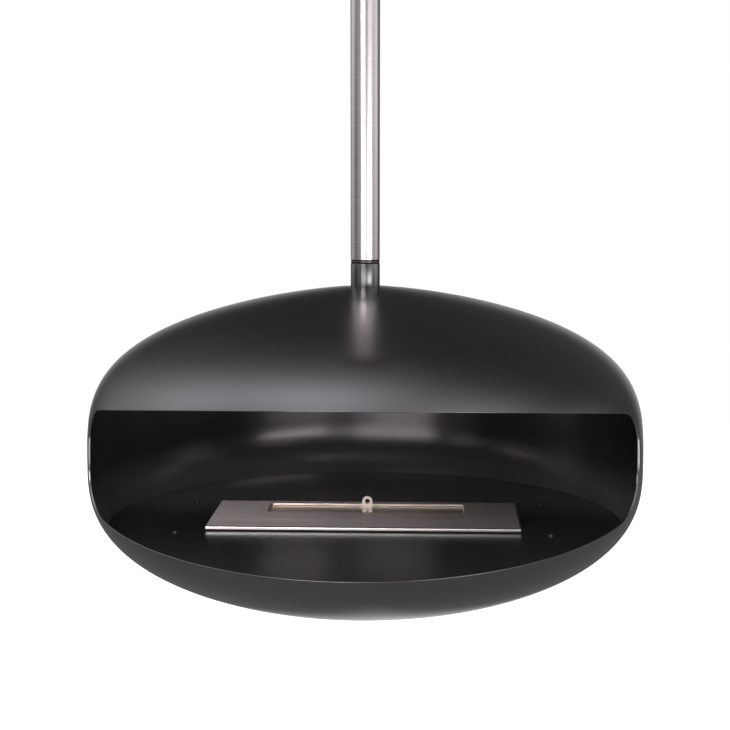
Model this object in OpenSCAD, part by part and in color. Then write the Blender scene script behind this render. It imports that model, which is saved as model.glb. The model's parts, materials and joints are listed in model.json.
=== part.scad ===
// Hanging fireplace: a pebble-shaped steel shell on a ceiling pole, with a drop-in
// liquid-fuel burner. Millimetres, +Z up, front towards -Y. The origin is the centre
// of the face that meets the ceiling, so everything hangs below z = 0.

/* [Shell] */
// Radius of the shell at its widest
shell_r = 380; // [340:1:430]
// Height of the dome above the widest line, as if it ran to a point
dome_h = 241; // [220:1:280]
// Depth of the bowl below the widest line
bowl_d = 199; // [185:1:230]
// How far the dome's plan bulges: 2 is an ellipse, less is more pointed
dome_bulge = 1.49; // [1.3:0.01:1.9]
// How square the dome's shoulder is: 2 is an ellipse
dome_square = 3.42; // [2.6:0.01:3.9]
// How far the bowl's plan bulges
bowl_bulge = 1.89; // [1.6:0.01:2.2]
// How square the bowl's shoulder is
bowl_square = 2.63; // [2.2:0.01:3]
// Thickness of the spun steel
shell_wall = 3; // [2:0.1:4]
// Radius of the flat pad on top, under the collar
pad_r = 24; // [22:0.5:30]

/* [Mouth] */
// How far in front of the axis the mouth's side edges stand
mouth_side_y = 108; // [80:1:140]
// Height of the mouth's top edge above the widest line, if run back to the axis
mouth_top = 66; // [55:1:80]
// Rise of the top edge towards the front, in degrees
mouth_top_angle = 8.4; // [5:0.1:11]
// Depth of the mouth's lower edge below the widest line, if run back to the axis
mouth_bottom = 27.5; // [20:0.5:34]
// Fall of the lower edge towards the front, in degrees
mouth_bottom_angle = 8.8; // [6:0.1:11]
// Radius of the mouth's top corners, seen from the side
mouth_top_corner = 45; // [25:1:60]
// Radius of the mouth's lower corners, seen from the side
mouth_bottom_corner = 70; // [45:1:80]

/* [Floor] */
// Depth of the floor's top face below the widest line
floor_depth = 84; // [78:0.5:95]
// Thickness of the floor sheet
floor_t = 2; // [1.5:0.1:3]
// Gap between the floor's edge and the shell
floor_gap = 1; // [0.5:0.1:2]
// Distance between the floor screws, left to right
floor_screw_x = 500; // [440:1:520]
// Distance between the floor screws, front to back
floor_screw_y = 200; // [180:1:220]
// Diameter of the posts under the floor
post_d = 14; // [11:0.5:18]

/* [Burner] */
// Width of the burner plate
plate_w = 425; // [400:1:450]
// Depth of the burner plate, front to back
plate_d = 172; // [166:1:184]
// Thickness of the stainless sheet
sheet_t = 1.5; // [1:0.1:1.6]
// Height of the plate's folded outer edge
plate_edge = 4.5; // [4.2:0.1:6]
// Gap under the folded edge, filled by the dark gasket
gasket_t = 2; // [1.5:0.1:3]
// Length of the fire slot
slot_w = 274; // [240:1:280]
// Width of the fire slot, front to back
slot_d = 61; // [55:0.5:64]
// Distance from the slot's rear edge to the plate's rear edge
slot_rear = 14; // [13:0.5:18]
// Height of the folded edge round the slot
slot_edge = 3.7; // [3.2:0.1:4.1]
// Depth of the fuel tray below the floor's underside
tray_depth = 54; // [45:1:60]
// Thickness of the absorbent pad
pad_t = 24; // [15:1:30]
// Gap between the tray and the floor's cut-out
tray_gap = 1; // [0.6:0.1:1.6]

/* [Shutter] */
// How far the shutter slides to the front
shutter_travel = 55; // [40:1:56]
// Running gap above and below the shutter
shutter_gap = 0.3; // [0.2:0.05:0.4]
// How far the shutter reaches under the plate at each end
shutter_lap = 6; // [4:0.5:8]
// Width of the pull tab
tab_w = 15; // [12:0.5:20]
// Height of the pull tab above the shutter
tab_h = 15; // [12:0.5:20]
// Diameter of the hole for the hook
tab_hole_d = 6.6; // [5:0.1:8]

/* [Pole and ceiling] */
// Length of the pole
pole_l = 600; // [450:10:900]
// Outside diameter of the pole
pole_d = 40; // [38:0.5:42]
// Wall of the pole
pole_wall = 2; // [1.5:0.1:2.5]
// Diameter of the ceiling plate
ceiling_d = 140; // [136:1:150]
// Thickness of the ceiling plate
ceiling_t = 6; // [5:0.5:10]
// Diameter of the ceiling bolt circle
bolt_circle = 110; // [100:1:114]
// Diameter of the ceiling bolt holes
bolt_hole_d = 9; // [7:0.5:11]
// Outside diameter of the canopy
canopy_d = 160; // [156:1:180]
// Height of the canopy
canopy_h = 62; // [58:1:80]
// Thickness of the canopy sheet
canopy_wall = 1.5; // [1:0.1:2]

/* [Collar and swivel] */
// Height of the thin ring at the foot of the pole
ring_h = 3.25; // [2.5:0.05:5]
// Height of the groove where the shell turns under the pole
groove_h = 2; // [1.5:0.1:3]
// Height of the collar
collar_h = 31.5; // [26:0.5:45]
// Diameter of the swivel spindle
spindle_d = 16; // [14:0.5:16]
// Diameter of the bearing balls
ball_d = 4.7; // [4:0.1:4.9]
// Diameter of the plate that the shell hangs on
hanger_d = 100; // [90:1:120]
// Thickness of the plate that the shell hangs on
hanger_t = 8; // [7:0.5:10]
// Diameter of the heat shield
shield_d = 220; // [180:1:240]
// Gap between the spindle's end and the heat shield
shield_gap = 6; // [4:0.5:15]

/* [Hidden] */

$fn = 96;
fit = 0.05;                 // radial gap of a running or screwed fit
clear = 0.3;                // gap between faces that move past each other

// heights, from the ceiling down
pole_top = -ceiling_t;
pole_foot = pole_top - pole_l;
ring_bottom = pole_foot - ring_h;
collar_top = ring_bottom - groove_h;
pad_z = collar_top - collar_h;
mid_z = pad_z - dome_z(pad_r);            // the shell's widest line
floor_z = mid_z - floor_depth;
plate_z = floor_z + gasket_t + plate_edge;

// shell: each half's side view is a curve (r / R)^bulge + (z / h)^square = 1
function dome_z(r) = dome_h * pow(1 - pow(r / shell_r, dome_bulge), 1 / dome_square);
function bowl_r(d) = shell_r * pow(1 - pow(d / bowl_d, bowl_square), 1 / bowl_bulge);
curve_steps = 26;
// an even walk along a quarter curve: 0 at the axis, 90 at the widest line
function even(s, a, b) = 90 * pow(s, a / 2) / (pow(s, a / 2) + pow(1 - s, b / 2));
function quarter(s, h, a, b) = let (t = even(s, a, b))
    [shell_r * pow(sin(t), 2 / a), h * pow(cos(t), 2 / b)];
// outward normal of that curve at a point
function normal(p, h, a, b) = let (
        n = [a / shell_r * pow(p[0] / shell_r, a - 1),
            b / h * pow(p[1] / h, b - 1)])
    n / norm(n);
function steps_after(r, h, a, b) =
    [for (i = [1:curve_steps - 1]) let (p = quarter(i / curve_steps, h, a, b)) if (p[0] > r) p];
dome_curve = concat([[pad_r, dome_z(pad_r)]],
    steps_after(pad_r + 8, dome_h, dome_bulge, dome_square), [[shell_r, 0]]);
bowl_curve = concat([[shell_r, 0]],
    [for (i = [curve_steps - 1:-1:1]) quarter(i / curve_steps, -bowl_d, bowl_bulge, bowl_square)],
    [[0, -bowl_d]]);
dome_inner = [for (p = dome_curve)
    p - shell_wall * normal(p, dome_h, dome_bulge, dome_square)];
bowl_inner = [for (p = bowl_curve)
    p - shell_wall * normal(p, -bowl_d, bowl_bulge, bowl_square)];
inner_curve = concat([[0, dome_z(pad_r) - shell_wall]],
    [[pad_r - shell_wall, dome_z(pad_r) - shell_wall]],
    [for (i = [1:len(dome_inner) - 1]) dome_inner[i]],
    [for (i = [1:len(bowl_inner) - 1]) bowl_inner[i]]);
dome_outline = concat([[0, 0], [0, dome_z(pad_r)]], dome_curve);
bowl_outline = concat([[0, 0]], bowl_curve);

// mouth
mouth_reach = shell_r + 60;               // the cut's front, clear of the shell
function top_line(y) = mouth_top - y * tan(mouth_top_angle);
function bottom_line(y) = -mouth_bottom + y * tan(mouth_bottom_angle);
corner_steps = 14;
function arc(centre, r, from, to) = [for (i = [0:corner_steps])
    let (a = from + (to - from) * i / corner_steps) centre + r * [cos(a), sin(a)]];
top_corner_y = -mouth_side_y - mouth_top_corner;
top_corner_z = top_line(top_corner_y) - mouth_top_corner / cos(mouth_top_angle);
bottom_corner_y = -mouth_side_y - mouth_bottom_corner;
bottom_corner_z = bottom_line(bottom_corner_y) + mouth_bottom_corner / cos(mouth_bottom_angle);

// floor and its screws
floor_edge_d = floor_depth + floor_t;
floor_slope = (bowl_r(floor_edge_d - 1) - bowl_r(floor_edge_d + 1)) / 2;
floor_r = bowl_r(floor_edge_d) - shell_wall * sqrt(1 + floor_slope * floor_slope) - floor_gap;
floor_screw_at = [for (x = [-1, 1], y = [-1, 1]) [x * floor_screw_x / 2, y * floor_screw_y / 2]];
screw_r = 2.5;
screw_head_r = 4.8;
screw_head_h = 2.4;
screw_l = 16;
post_socket = 24;

// burner
slot_y0 = plate_d / 2 - slot_rear - slot_d;
slot_y1 = plate_d / 2 - slot_rear;
plate_under = plate_z - sheet_t;
flange_t = plate_edge - sheet_t;          // the tray's rim fills the plate's folded edge
shutter_top = plate_z - slot_edge - shutter_gap;
shutter_w = slot_w + 2 * shutter_lap;
shutter_y1 = slot_y1 - shutter_gap - 0.2;
shutter_d = slot_d + 3.5;
shutter_y0 = shutter_y1 - shutter_d;
rail_x = shutter_w / 2 + shutter_gap;     // inner face of each rail's web
rail_t = 1.2;
rail_foot = 5;
rail_y0 = shutter_y0 - shutter_travel - 1;
rail_y1 = slot_y1 + sheet_t + 0.5;
rail_top = shutter_top - sheet_t - shutter_gap;
tray_in_w = 2 * (rail_x + rail_t + 3.5);  // inside width of the tray
tray_y0 = rail_y0 - 2;
tray_y1 = slot_y1 + sheet_t + 2;
tray_bottom = floor_z - floor_t - tray_depth;
cut_w = tray_in_w + 2 * (sheet_t + tray_gap);
cut_y0 = tray_y0 - sheet_t - tray_gap;
cut_y1 = tray_y1 + sheet_t + tray_gap;
rim_inset = sheet_t + 0.5;                // tray rim and gasket stay inside the folded edge
grille_t = 1;
pad_gap = 1;

// safety tray under the floor
safety_gap = 6;
safety_wall = 1;
safety_lip = 14;
safety_w = cut_w + 2 * safety_gap;
safety_y0 = cut_y0 - safety_gap;
safety_y1 = cut_y1 + safety_gap;
safety_bottom = tray_bottom - 8;
stud_r = 2;                 // weld studs that hold the safety tray
stud_at = [for (x = [-1, 1], y = [safety_y0 - safety_lip / 2, safety_y1 + safety_lip / 2])
    [x * (safety_w / 2 - 20), y]];

// swivel
spindle_r = spindle_d / 2;
bush_r = spindle_r + 4;
collar_bolt_r = (bush_r + pole_d / 2) / 2;
collar_screw_r = 2;
collar_head_r = 3.4;
collar_head_h = 4.2;
collar_screw_l = 22;
plug_l = 60;
shoulder_r = pole_d / 2 - 0.8;
race_h = 3;
race_r = spindle_r + 7;
ball_r = ball_d / 2;
groove_r = ball_r + clear;
ball_sink = 0.9;                          // how deep each race's groove takes a ball
race_gap = 2 * (groove_r - ball_sink);
ball_ring_r = spindle_r + 3.9;
hanger_top = pad_z - shell_wall;
hanger_bottom = hanger_top - hanger_t;
upper_race_z = hanger_bottom - race_h;
lower_race_z = upper_race_z - race_gap - race_h;
washer_h = 2;
nut_h = 13;
nut_af = 24;
nut_z = lower_race_z - washer_h - nut_h;
spindle_end = nut_z - 4;
lock_pin_r = 1.5;
lock_pin_z = nut_z + 4;
shield_r_at = 36;
shield_z = spindle_end - shield_gap;
shield_drop = hanger_bottom - shield_z;
shield_t = 1.5;
shield_screw_r = 2;
spacer_r = 5;

// ceiling
hub_l = 50;
hub_r = pole_d / 2 - pole_wall - fit;
pole_bolt_r = 3;
pole_bolt_z = [-ceiling_t - 16, -ceiling_t - 36];
ring_clamp_h = 12;
ring_clamp_r = pole_d / 2 + 8;
canopy_bottom = -1 - canopy_h;
grub_r = 2.5;

steel = [0.72, 0.69, 0.68];
zinc = [0.62, 0.63, 0.65];
black = [0.13, 0.13, 0.14];
bronze = [0.65, 0.47, 0.27];

// a tube or washer standing on z
module ring(outer, inner, z, h) {
    translate([0, 0, z]) difference() {
        cylinder(r = outer, h = h);
        translate([0, 0, -1]) cylinder(r = inner, h = h + 2);
    }
}

// a block by its corners
module block(x0, x1, y0, y1, z0, z1) {
    translate([x0, y0, z0]) cube([x1 - x0, y1 - y0, z1 - z0]);
}

// the space inside the shell, as one solid
module cavity() {
    translate([0, 0, mid_z]) rotate_extrude($fn = 180) polygon(inner_curve);
}

// the mouth, cut straight across from side to side
module mouth() {
    translate([0, 0, mid_z]) rotate([90, 0, 90])
        linear_extrude(2 * mouth_reach, center = true)
            polygon(concat(
                [[-mouth_reach, top_line(-mouth_reach)], [-mouth_reach, bottom_line(-mouth_reach)]],
                arc([bottom_corner_y, bottom_corner_z], mouth_bottom_corner, mouth_bottom_angle - 90, 0),
                arc([top_corner_y, top_corner_z], mouth_top_corner, 0, 90 - mouth_top_angle)));
}

// a hexagonal nut, blind or through
module hex_nut(af, bore_r, h) {
    difference() {
        cylinder(r = af / sqrt(3), h = h, $fn = 6);
        translate([0, 0, -1]) cylinder(r = bore_r, h = h + 2);
    }
}

module ceiling_plate() {
    color(zinc) difference() {
        union() {
            translate([0, 0, -ceiling_t]) cylinder(d = ceiling_d, h = ceiling_t);
            translate([0, 0, -ceiling_t - hub_l]) cylinder(r = hub_r, h = hub_l + 1);
        }
        translate([0, 0, -ceiling_t - hub_l - 1]) cylinder(r = hub_r - 6, h = hub_l);
        for (a = [45:90:315]) rotate([0, 0, a])
            translate([bolt_circle / 2, 0, -ceiling_t - 1]) cylinder(d = bolt_hole_d, h = ceiling_t + 2);
        for (i = [0, 1]) translate([0, 0, pole_bolt_z[i]]) rotate([0, 90, 90 * i])
            cylinder(r = pole_bolt_r + fit, h = pole_d, center = true);
    }
}

// two cross bolts hold the pole on the ceiling plate's hub
module pole_bolts() {
    color(zinc) for (i = [0, 1]) translate([0, 0, pole_bolt_z[i]]) rotate([0, 90, 90 * i]) {
        translate([0, 0, -pole_d / 2 - 4.2 - fit]) cylinder(r = 5.5, h = 4.2);
        translate([0, 0, -pole_d / 2 - 1]) cylinder(r = pole_bolt_r, h = pole_d + 9);
    }
}

module pole_bolt_nuts() {
    color(zinc) for (i = [0, 1]) translate([0, 0, pole_bolt_z[i]]) rotate([0, 90, 90 * i])
        translate([0, 0, pole_d / 2 + fit]) hex_nut(10, pole_bolt_r + fit, 5);
}

// cover cup, open towards the ceiling
module canopy() {
    color(black) translate([0, 0, canopy_bottom]) difference() {
        cylinder(d = canopy_d, h = canopy_h);
        translate([0, 0, canopy_wall]) cylinder(d = canopy_d - 2 * canopy_wall, h = canopy_h);
        translate([0, 0, -1]) cylinder(d = pole_d + 1, h = canopy_wall + 2);
    }
}

// clamp ring that holds the canopy up
module canopy_ring() {
    color(black) difference() {
        ring(ring_clamp_r, pole_d / 2 + fit, canopy_bottom - fit - ring_clamp_h, ring_clamp_h);
        translate([0, 0, canopy_bottom - fit - ring_clamp_h / 2]) rotate([0, 90, 90])
            cylinder(r = grub_r + fit, h = ring_clamp_r + 5);
    }
}

module canopy_ring_screw() {
    color(zinc) translate([0, pole_d / 2 + 0.2, canopy_bottom - fit - ring_clamp_h / 2])
        rotate([-90, 0, 0]) difference() {
            cylinder(r = grub_r, h = 7);
            translate([0, 0, 4]) cylinder(r = 1.44, h = 4, $fn = 6);
        }
}

module pole() {
    color(steel) difference() {
        ring(pole_d / 2, pole_d / 2 - pole_wall, pole_foot, pole_l);
        for (i = [0, 1]) translate([0, 0, pole_bolt_z[i]]) rotate([0, 90, 90 * i])
            cylinder(r = pole_bolt_r + fit, h = pole_d + 10, center = true);
    }
}

// plug welded inside the pole's foot, tapped for the spindle
module pole_plug() {
    color(zinc) ring(pole_d / 2 - pole_wall - fit, spindle_r + fit, pole_foot, plug_l);
}

module collar_ring() {
    color(black) ring(pole_d / 2, spindle_r + fit, ring_bottom, ring_h);
}

// hangs from the plug; its shoulder shows as the groove under the ring
module spindle() {
    color(zinc) difference() {
        union() {
            translate([0, 0, spindle_end])
                cylinder(r = spindle_r, h = pole_foot + plug_l - 6 - spindle_end);
            translate([0, 0, collar_top + clear]) cylinder(r = shoulder_r, h = groove_h - clear);
        }
        translate([0, 0, lock_pin_z]) rotate([0, 90, 0])
            cylinder(r = lock_pin_r + fit, h = spindle_d + 2, center = true);
    }
}

module collar_screw_places() {
    for (a = [90, 210, 330]) rotate([0, 0, a]) translate([collar_bolt_r, 0, 0]) children();
}

module collar() {
    color(black) difference() {
        ring(pole_d / 2, bush_r + fit, pad_z, collar_h);
        collar_screw_places() translate([0, 0, pad_z - 1])
            cylinder(r = collar_screw_r + fit, h = collar_screw_l - hanger_t - shell_wall + 3);
    }
}

module guide_bush() {
    color(bronze) ring(bush_r, spindle_r + fit, pad_z + 0.5, collar_h - 1);
}

// three screws draw collar, shell and hanger plate together
module collar_screws() {
    color(zinc) collar_screw_places() difference() {
        union() {
            translate([0, 0, hanger_bottom + 0.3]) cylinder(r = collar_head_r, h = collar_head_h);
            translate([0, 0, hanger_bottom + 0.3 + collar_head_h - 1])
                cylinder(r = collar_screw_r, h = collar_screw_l - collar_head_h);
        }
        translate([0, 0, hanger_bottom]) cylinder(r = 1.5, h = 2.5, $fn = 6);
    }
}

module hanger_plate() {
    edge_drop = dome_z(pad_r) - dome_z(hanger_d / 2) + 1.2;
    color(zinc) difference() {
        translate([0, 0, hanger_bottom]) rotate_extrude() polygon([
            [spindle_r + 0.4, 0], [hanger_d / 2, 0], [hanger_d / 2, hanger_t - edge_drop],
            [pad_r - shell_wall, hanger_t], [spindle_r + 0.4, hanger_t]]);
        collar_screw_places() {
            translate([0, 0, hanger_bottom - 1])
                cylinder(r = collar_head_r + 0.2, h = collar_head_h + 1.4);
            translate([0, 0, hanger_bottom]) cylinder(r = collar_screw_r + 0.2, h = hanger_t + 1);
        }
        shield_places() translate([0, 0, hanger_bottom - 1])
            cylinder(r = shield_screw_r + fit, h = hanger_t - edge_drop);
    }
}

// a bearing race with a ball groove on one face
module race(z, groove_z) {
    difference() {
        ring(race_r, spindle_r + 0.3, z, race_h);
        translate([0, 0, groove_z]) rotate_extrude()
            translate([ball_ring_r, 0]) circle(r = groove_r, $fn = 32);
    }
}

module upper_race() {
    color(zinc) race(upper_race_z, upper_race_z - race_gap / 2);
}

module lower_race() {
    color(zinc) race(lower_race_z, upper_race_z - race_gap / 2);
}

// balls in their cage
module ball_ring() {
    ball_count = 12;
    color(steel) translate([0, 0, upper_race_z - race_gap / 2]) {
        difference() {
            translate([0, 0, -0.8]) cylinder(r = race_r - 0.4, h = 1.6);
            translate([0, 0, -1.5]) cylinder(r = spindle_r + 0.8, h = 3);
        }
        for (i = [0:ball_count - 1]) rotate([0, 0, i * 360 / ball_count])
            translate([ball_ring_r, 0, 0]) sphere(r = ball_r, $fn = 24);
    }
}

module spindle_washer() {
    color(zinc) ring(race_r + 2, spindle_r + 0.3, lower_race_z - washer_h, washer_h);
}

module spindle_nut() {
    color(zinc) difference() {
        translate([0, 0, nut_z]) hex_nut(nut_af, spindle_r + fit, nut_h);
        translate([0, 0, lock_pin_z]) rotate([0, 90, 0])
            cylinder(r = lock_pin_r + fit, h = 2 * nut_af, center = true);
    }
}

module lock_pin() {
    color(steel) translate([0, 0, lock_pin_z]) rotate([0, 90, 0])
        cylinder(r = lock_pin_r, h = nut_af + 8, center = true);
}

module shield_places() {
    for (a = [30, 150, 270]) rotate([0, 0, a]) translate([shield_r_at, 0, 0]) children();
}

// shallow dished disc that keeps the fire's heat off the swivel
module heat_shield() {
    dish = 6;
    flat_r = shield_d / 2 - 40;
    color(steel) difference() {
        translate([0, 0, shield_z - shield_t]) rotate_extrude() polygon([
            [0, 0], [flat_r, 0], [shield_d / 2, dish], [shield_d / 2, dish + shield_t],
            [flat_r, shield_t], [0, shield_t]]);
        shield_places() translate([0, 0, shield_z - shield_t - 1])
            cylinder(r = shield_screw_r + 0.2, h = shield_t + 2);
    }
}

module shield_spacers() {
    color(zinc) shield_places() ring(spacer_r, shield_screw_r + 0.2, shield_z, shield_drop);
}

module shield_screws() {
    color(steel) shield_places() {
        translate([0, 0, shield_z - shield_t - 2.4]) cylinder(r = 3.8, h = 2.4);
        translate([0, 0, shield_z - shield_t - 0.5])
            cylinder(r = shield_screw_r, h = shield_drop + shield_t + 3);
    }
}

// one spun half of the pebble, with its share of the mouth cut out
module spun_half(outline) {
    difference() {
        translate([0, 0, mid_z]) rotate_extrude($fn = 180) polygon(outline);
        cavity();
        mouth();
    }
}

// upper half, bolted under the collar
module dome() {
    color(black) difference() {
        spun_half(dome_outline);
        translate([0, 0, pad_z - shell_wall - 5]) cylinder(r = bush_r - 1, h = shell_wall + 10);
        collar_screw_places() translate([0, 0, pad_z - shell_wall - 5])
            cylinder(r = collar_screw_r + 0.2, h = shell_wall + 10);
    }
}

// lower half, welded to the dome along the widest line and ground flush
module bowl() {
    color(black) spun_half(bowl_outline);
}

module floor_panel() {
    color(black) difference() {
        translate([0, 0, floor_z - floor_t]) cylinder(r = floor_r, h = floor_t, $fn = 180);
        block(-cut_w / 2, cut_w / 2, cut_y0, cut_y1, floor_z - floor_t - 1, floor_z + 1);
        for (p = floor_screw_at) translate([p[0], p[1], floor_z - floor_t - 1])
            cylinder(r = screw_r + 0.3, h = floor_t + 2);
        for (p = stud_at) translate([p[0], p[1], floor_z - floor_t - 1])
            cylinder(r = stud_r + fit, h = 1 + floor_t / 2);
    }
}

// posts welded to the bowl, tapped for the floor screws
module floor_posts() {
    color(zinc) intersection() {
        cavity();
        for (p = floor_screw_at) translate([p[0], p[1], mid_z - bowl_d]) difference() {
            cylinder(d = post_d, h = bowl_d - floor_edge_d);
            translate([0, 0, bowl_d - floor_edge_d - post_socket])
                cylinder(r = screw_r + fit, h = post_socket + 1);
        }
    }
}

module floor_screws() {
    color(zinc) for (p = floor_screw_at) translate([p[0], p[1], floor_z]) difference() {
        union() {
            cylinder(r1 = screw_head_r, r2 = screw_head_r - 1, h = screw_head_h);
            translate([0, 0, -screw_l]) cylinder(r = screw_r, h = screw_l + 1);
        }
        translate([0, 0, screw_head_h - 1.6]) cylinder(r = 1.7, h = 3, $fn = 6);
    }
}

// dark fibre frame that seals the burner on the floor
module floor_gasket() {
    color(black) difference() {
        block(-plate_w / 2 + rim_inset, plate_w / 2 - rim_inset,
            -plate_d / 2 + rim_inset, plate_d / 2 - rim_inset, floor_z, floor_z + gasket_t);
        block(-cut_w / 2, cut_w / 2, cut_y0, cut_y1, floor_z - 1, floor_z + gasket_t + 1);
    }
}

// open pan that catches spilt fuel
module safety_tray() {
    top = floor_z - floor_t;
    color(zinc) difference() {
        union() {
            block(-safety_w / 2 - safety_wall, safety_w / 2 + safety_wall, safety_y0 - safety_wall,
                safety_y1 + safety_wall, safety_bottom, top);
            block(-safety_w / 2 - safety_lip, safety_w / 2 + safety_lip, safety_y0 - safety_lip,
                safety_y1 + safety_lip, top - safety_wall, top);
        }
        block(-safety_w / 2, safety_w / 2, safety_y0, safety_y1, safety_bottom + safety_wall, top + 1);
        for (p = stud_at) translate([p[0], p[1], top - 5]) cylinder(r = stud_r + 0.3, h = 10);
    }
}

module tray_studs() {
    stud_l = 9;
    color(zinc) for (p = stud_at) translate([p[0], p[1], floor_z - floor_t / 2 - stud_l])
        cylinder(r = stud_r, h = stud_l - 0.1);
}

module tray_nuts() {
    nut_t = 3.2;
    color(zinc) for (p = stud_at)
        translate([p[0], p[1], floor_z - floor_t - safety_wall - nut_t])
            hex_nut(7, stud_r + fit, nut_t);
}

// fuel tray with a thick rim that carries the burner plate
module burner_tray() {
    color(steel) difference() {
        union() {
            block(-tray_in_w / 2 - sheet_t, tray_in_w / 2 + sheet_t, tray_y0 - sheet_t,
                tray_y1 + sheet_t, tray_bottom, plate_under);
            block(-plate_w / 2 + rim_inset, plate_w / 2 - rim_inset, -plate_d / 2 + rim_inset,
                plate_d / 2 - rim_inset, plate_under - flange_t, plate_under);
        }
        block(-tray_in_w / 2, tray_in_w / 2, tray_y0, tray_y1, tray_bottom + sheet_t, plate_under + 1);
    }
}

// soaks up the fuel
module absorbent_pad() {
    color([0.93, 0.92, 0.88]) block(-tray_in_w / 2 + pad_gap, tray_in_w / 2 - pad_gap,
        tray_y0 + pad_gap, tray_y1 - pad_gap, tray_bottom + sheet_t, tray_bottom + sheet_t + pad_t);
}

// window grille that keeps the pad down
module pad_grille() {
    across = 13;
    deep = 5;
    bar = 3;
    z0 = tray_bottom + sheet_t + pad_t + fit;
    w = tray_in_w - 2 * pad_gap;
    d = tray_y1 - tray_y0 - 2 * pad_gap;
    step_x = (w - bar) / across;
    step_y = (d - bar) / deep;
    color(steel) translate([-w / 2, tray_y0 + pad_gap, z0]) difference() {
        cube([w, d, grille_t]);
        for (i = [0:across - 1], j = [0:deep - 1])
            translate([bar + i * step_x, bar + j * step_y, -1])
                cube([step_x - bar, step_y - bar, grille_t + 2]);
    }
}

// stainless top with folded outer and slot edges
module burner_plate() {
    color(steel) difference() {
        block(-plate_w / 2, plate_w / 2, -plate_d / 2, plate_d / 2, plate_z - plate_edge, plate_z);
        difference() {
            block(-plate_w / 2 + sheet_t, plate_w / 2 - sheet_t, -plate_d / 2 + sheet_t,
                plate_d / 2 - sheet_t, plate_z - plate_edge - 1, plate_under);
            block(-slot_w / 2 - sheet_t, slot_w / 2 + sheet_t, slot_y0 - sheet_t,
                slot_y1 + sheet_t, plate_z - slot_edge, plate_z);
        }
        block(-slot_w / 2, slot_w / 2, slot_y0, slot_y1, plate_z - plate_edge - 2, plate_z + 1);
    }
}

// two angle rails that carry the shutter
module shutter_rails() {
    color(steel) for (s = [0, 1]) mirror([s, 0, 0]) {
        block(rail_x, rail_x + rail_t, rail_y0, rail_y1, rail_top - rail_t, plate_under);
        block(rail_x + rail_t - rail_foot, rail_x + rail_t, rail_y0, rail_y1,
            rail_top - rail_t, rail_top);
    }
}

module shutter_plate() {
    color(steel) block(-shutter_w / 2, shutter_w / 2, shutter_y0, shutter_y1,
        shutter_top - sheet_t, shutter_top);
}

// lug with a round head, for a hook
module pull_tab() {
    tab_t = 1.5;
    r = tab_w / 2;
    color(steel) translate([0, shutter_y1, shutter_top]) rotate([90, 0, 0]) difference() {
        linear_extrude(tab_t) {
            translate([-r, 0]) square([tab_w, tab_h - r]);
            translate([0, tab_h - r]) circle(r = r);
        }
        translate([0, tab_h - r, -1]) cylinder(d = tab_hole_d, h = tab_t + 2);
    }
}

ceiling_plate();
pole_bolts();
pole_bolt_nuts();
canopy();
canopy_ring();
canopy_ring_screw();
pole();
pole_plug();
collar_ring();
spindle();
collar();
guide_bush();
collar_screws();
hanger_plate();
upper_race();
ball_ring();
lower_race();
spindle_washer();
spindle_nut();
lock_pin();
heat_shield();
shield_spacers();
shield_screws();
dome();
bowl();
floor_panel();
floor_posts();
floor_screws();
floor_gasket();
safety_tray();
tray_studs();
tray_nuts();
burner_tray();
absorbent_pad();
pad_grille();
burner_plate();
shutter_rails();
shutter_plate();
pull_tab();
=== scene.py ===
import bpy
import bmesh
import json
from math import atan2, cos, hypot, log, pi, radians, sin, tan
from mathutils import Euler, Matrix, Vector, noise

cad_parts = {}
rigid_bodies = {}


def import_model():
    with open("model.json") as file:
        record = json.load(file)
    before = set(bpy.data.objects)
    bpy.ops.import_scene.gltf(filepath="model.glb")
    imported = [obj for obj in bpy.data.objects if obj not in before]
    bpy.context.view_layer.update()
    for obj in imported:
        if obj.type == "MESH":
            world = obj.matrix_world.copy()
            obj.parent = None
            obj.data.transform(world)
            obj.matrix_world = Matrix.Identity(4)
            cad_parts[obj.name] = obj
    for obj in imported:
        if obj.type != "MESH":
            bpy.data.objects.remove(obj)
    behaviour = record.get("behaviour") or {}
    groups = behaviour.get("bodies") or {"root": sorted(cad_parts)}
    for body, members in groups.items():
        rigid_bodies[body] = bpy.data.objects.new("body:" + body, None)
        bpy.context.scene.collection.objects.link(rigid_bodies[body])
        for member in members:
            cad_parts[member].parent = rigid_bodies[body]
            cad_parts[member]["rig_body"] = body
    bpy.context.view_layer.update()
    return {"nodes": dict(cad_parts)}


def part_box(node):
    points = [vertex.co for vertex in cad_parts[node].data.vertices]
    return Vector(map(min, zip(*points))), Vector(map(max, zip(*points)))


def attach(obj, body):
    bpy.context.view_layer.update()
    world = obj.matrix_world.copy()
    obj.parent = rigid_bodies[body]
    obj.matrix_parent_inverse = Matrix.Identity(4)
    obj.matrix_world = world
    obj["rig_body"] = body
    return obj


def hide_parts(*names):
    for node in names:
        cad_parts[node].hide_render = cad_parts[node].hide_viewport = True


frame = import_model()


def showObject(name, data):
    thing = bpy.data.objects.new(name, data)
    bpy.context.scene.collection.objects.link(thing)
    return thing


def outwards(azimuth, elevation):
    # direction away from the hearth, in degrees; azimuth runs from the front towards +X
    a, e = radians(azimuth), radians(elevation)
    return Vector((sin(a) * cos(e), -cos(a) * cos(e), sin(e)))


# camera: the photograph's view, a little above the hearth and slightly from its right

cameraView = {
    "distance": 2.250,       # from the pole's axis, along the floor
    "height": -0.4811,       # below the ceiling
    "azimuth": 2.5,          # degrees towards +X
    "pitch": 6.85,           # degrees downwards
    "sideStep": -0.0004,
    "lens": 81.19,
    "sensor": 36.0,
}


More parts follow.
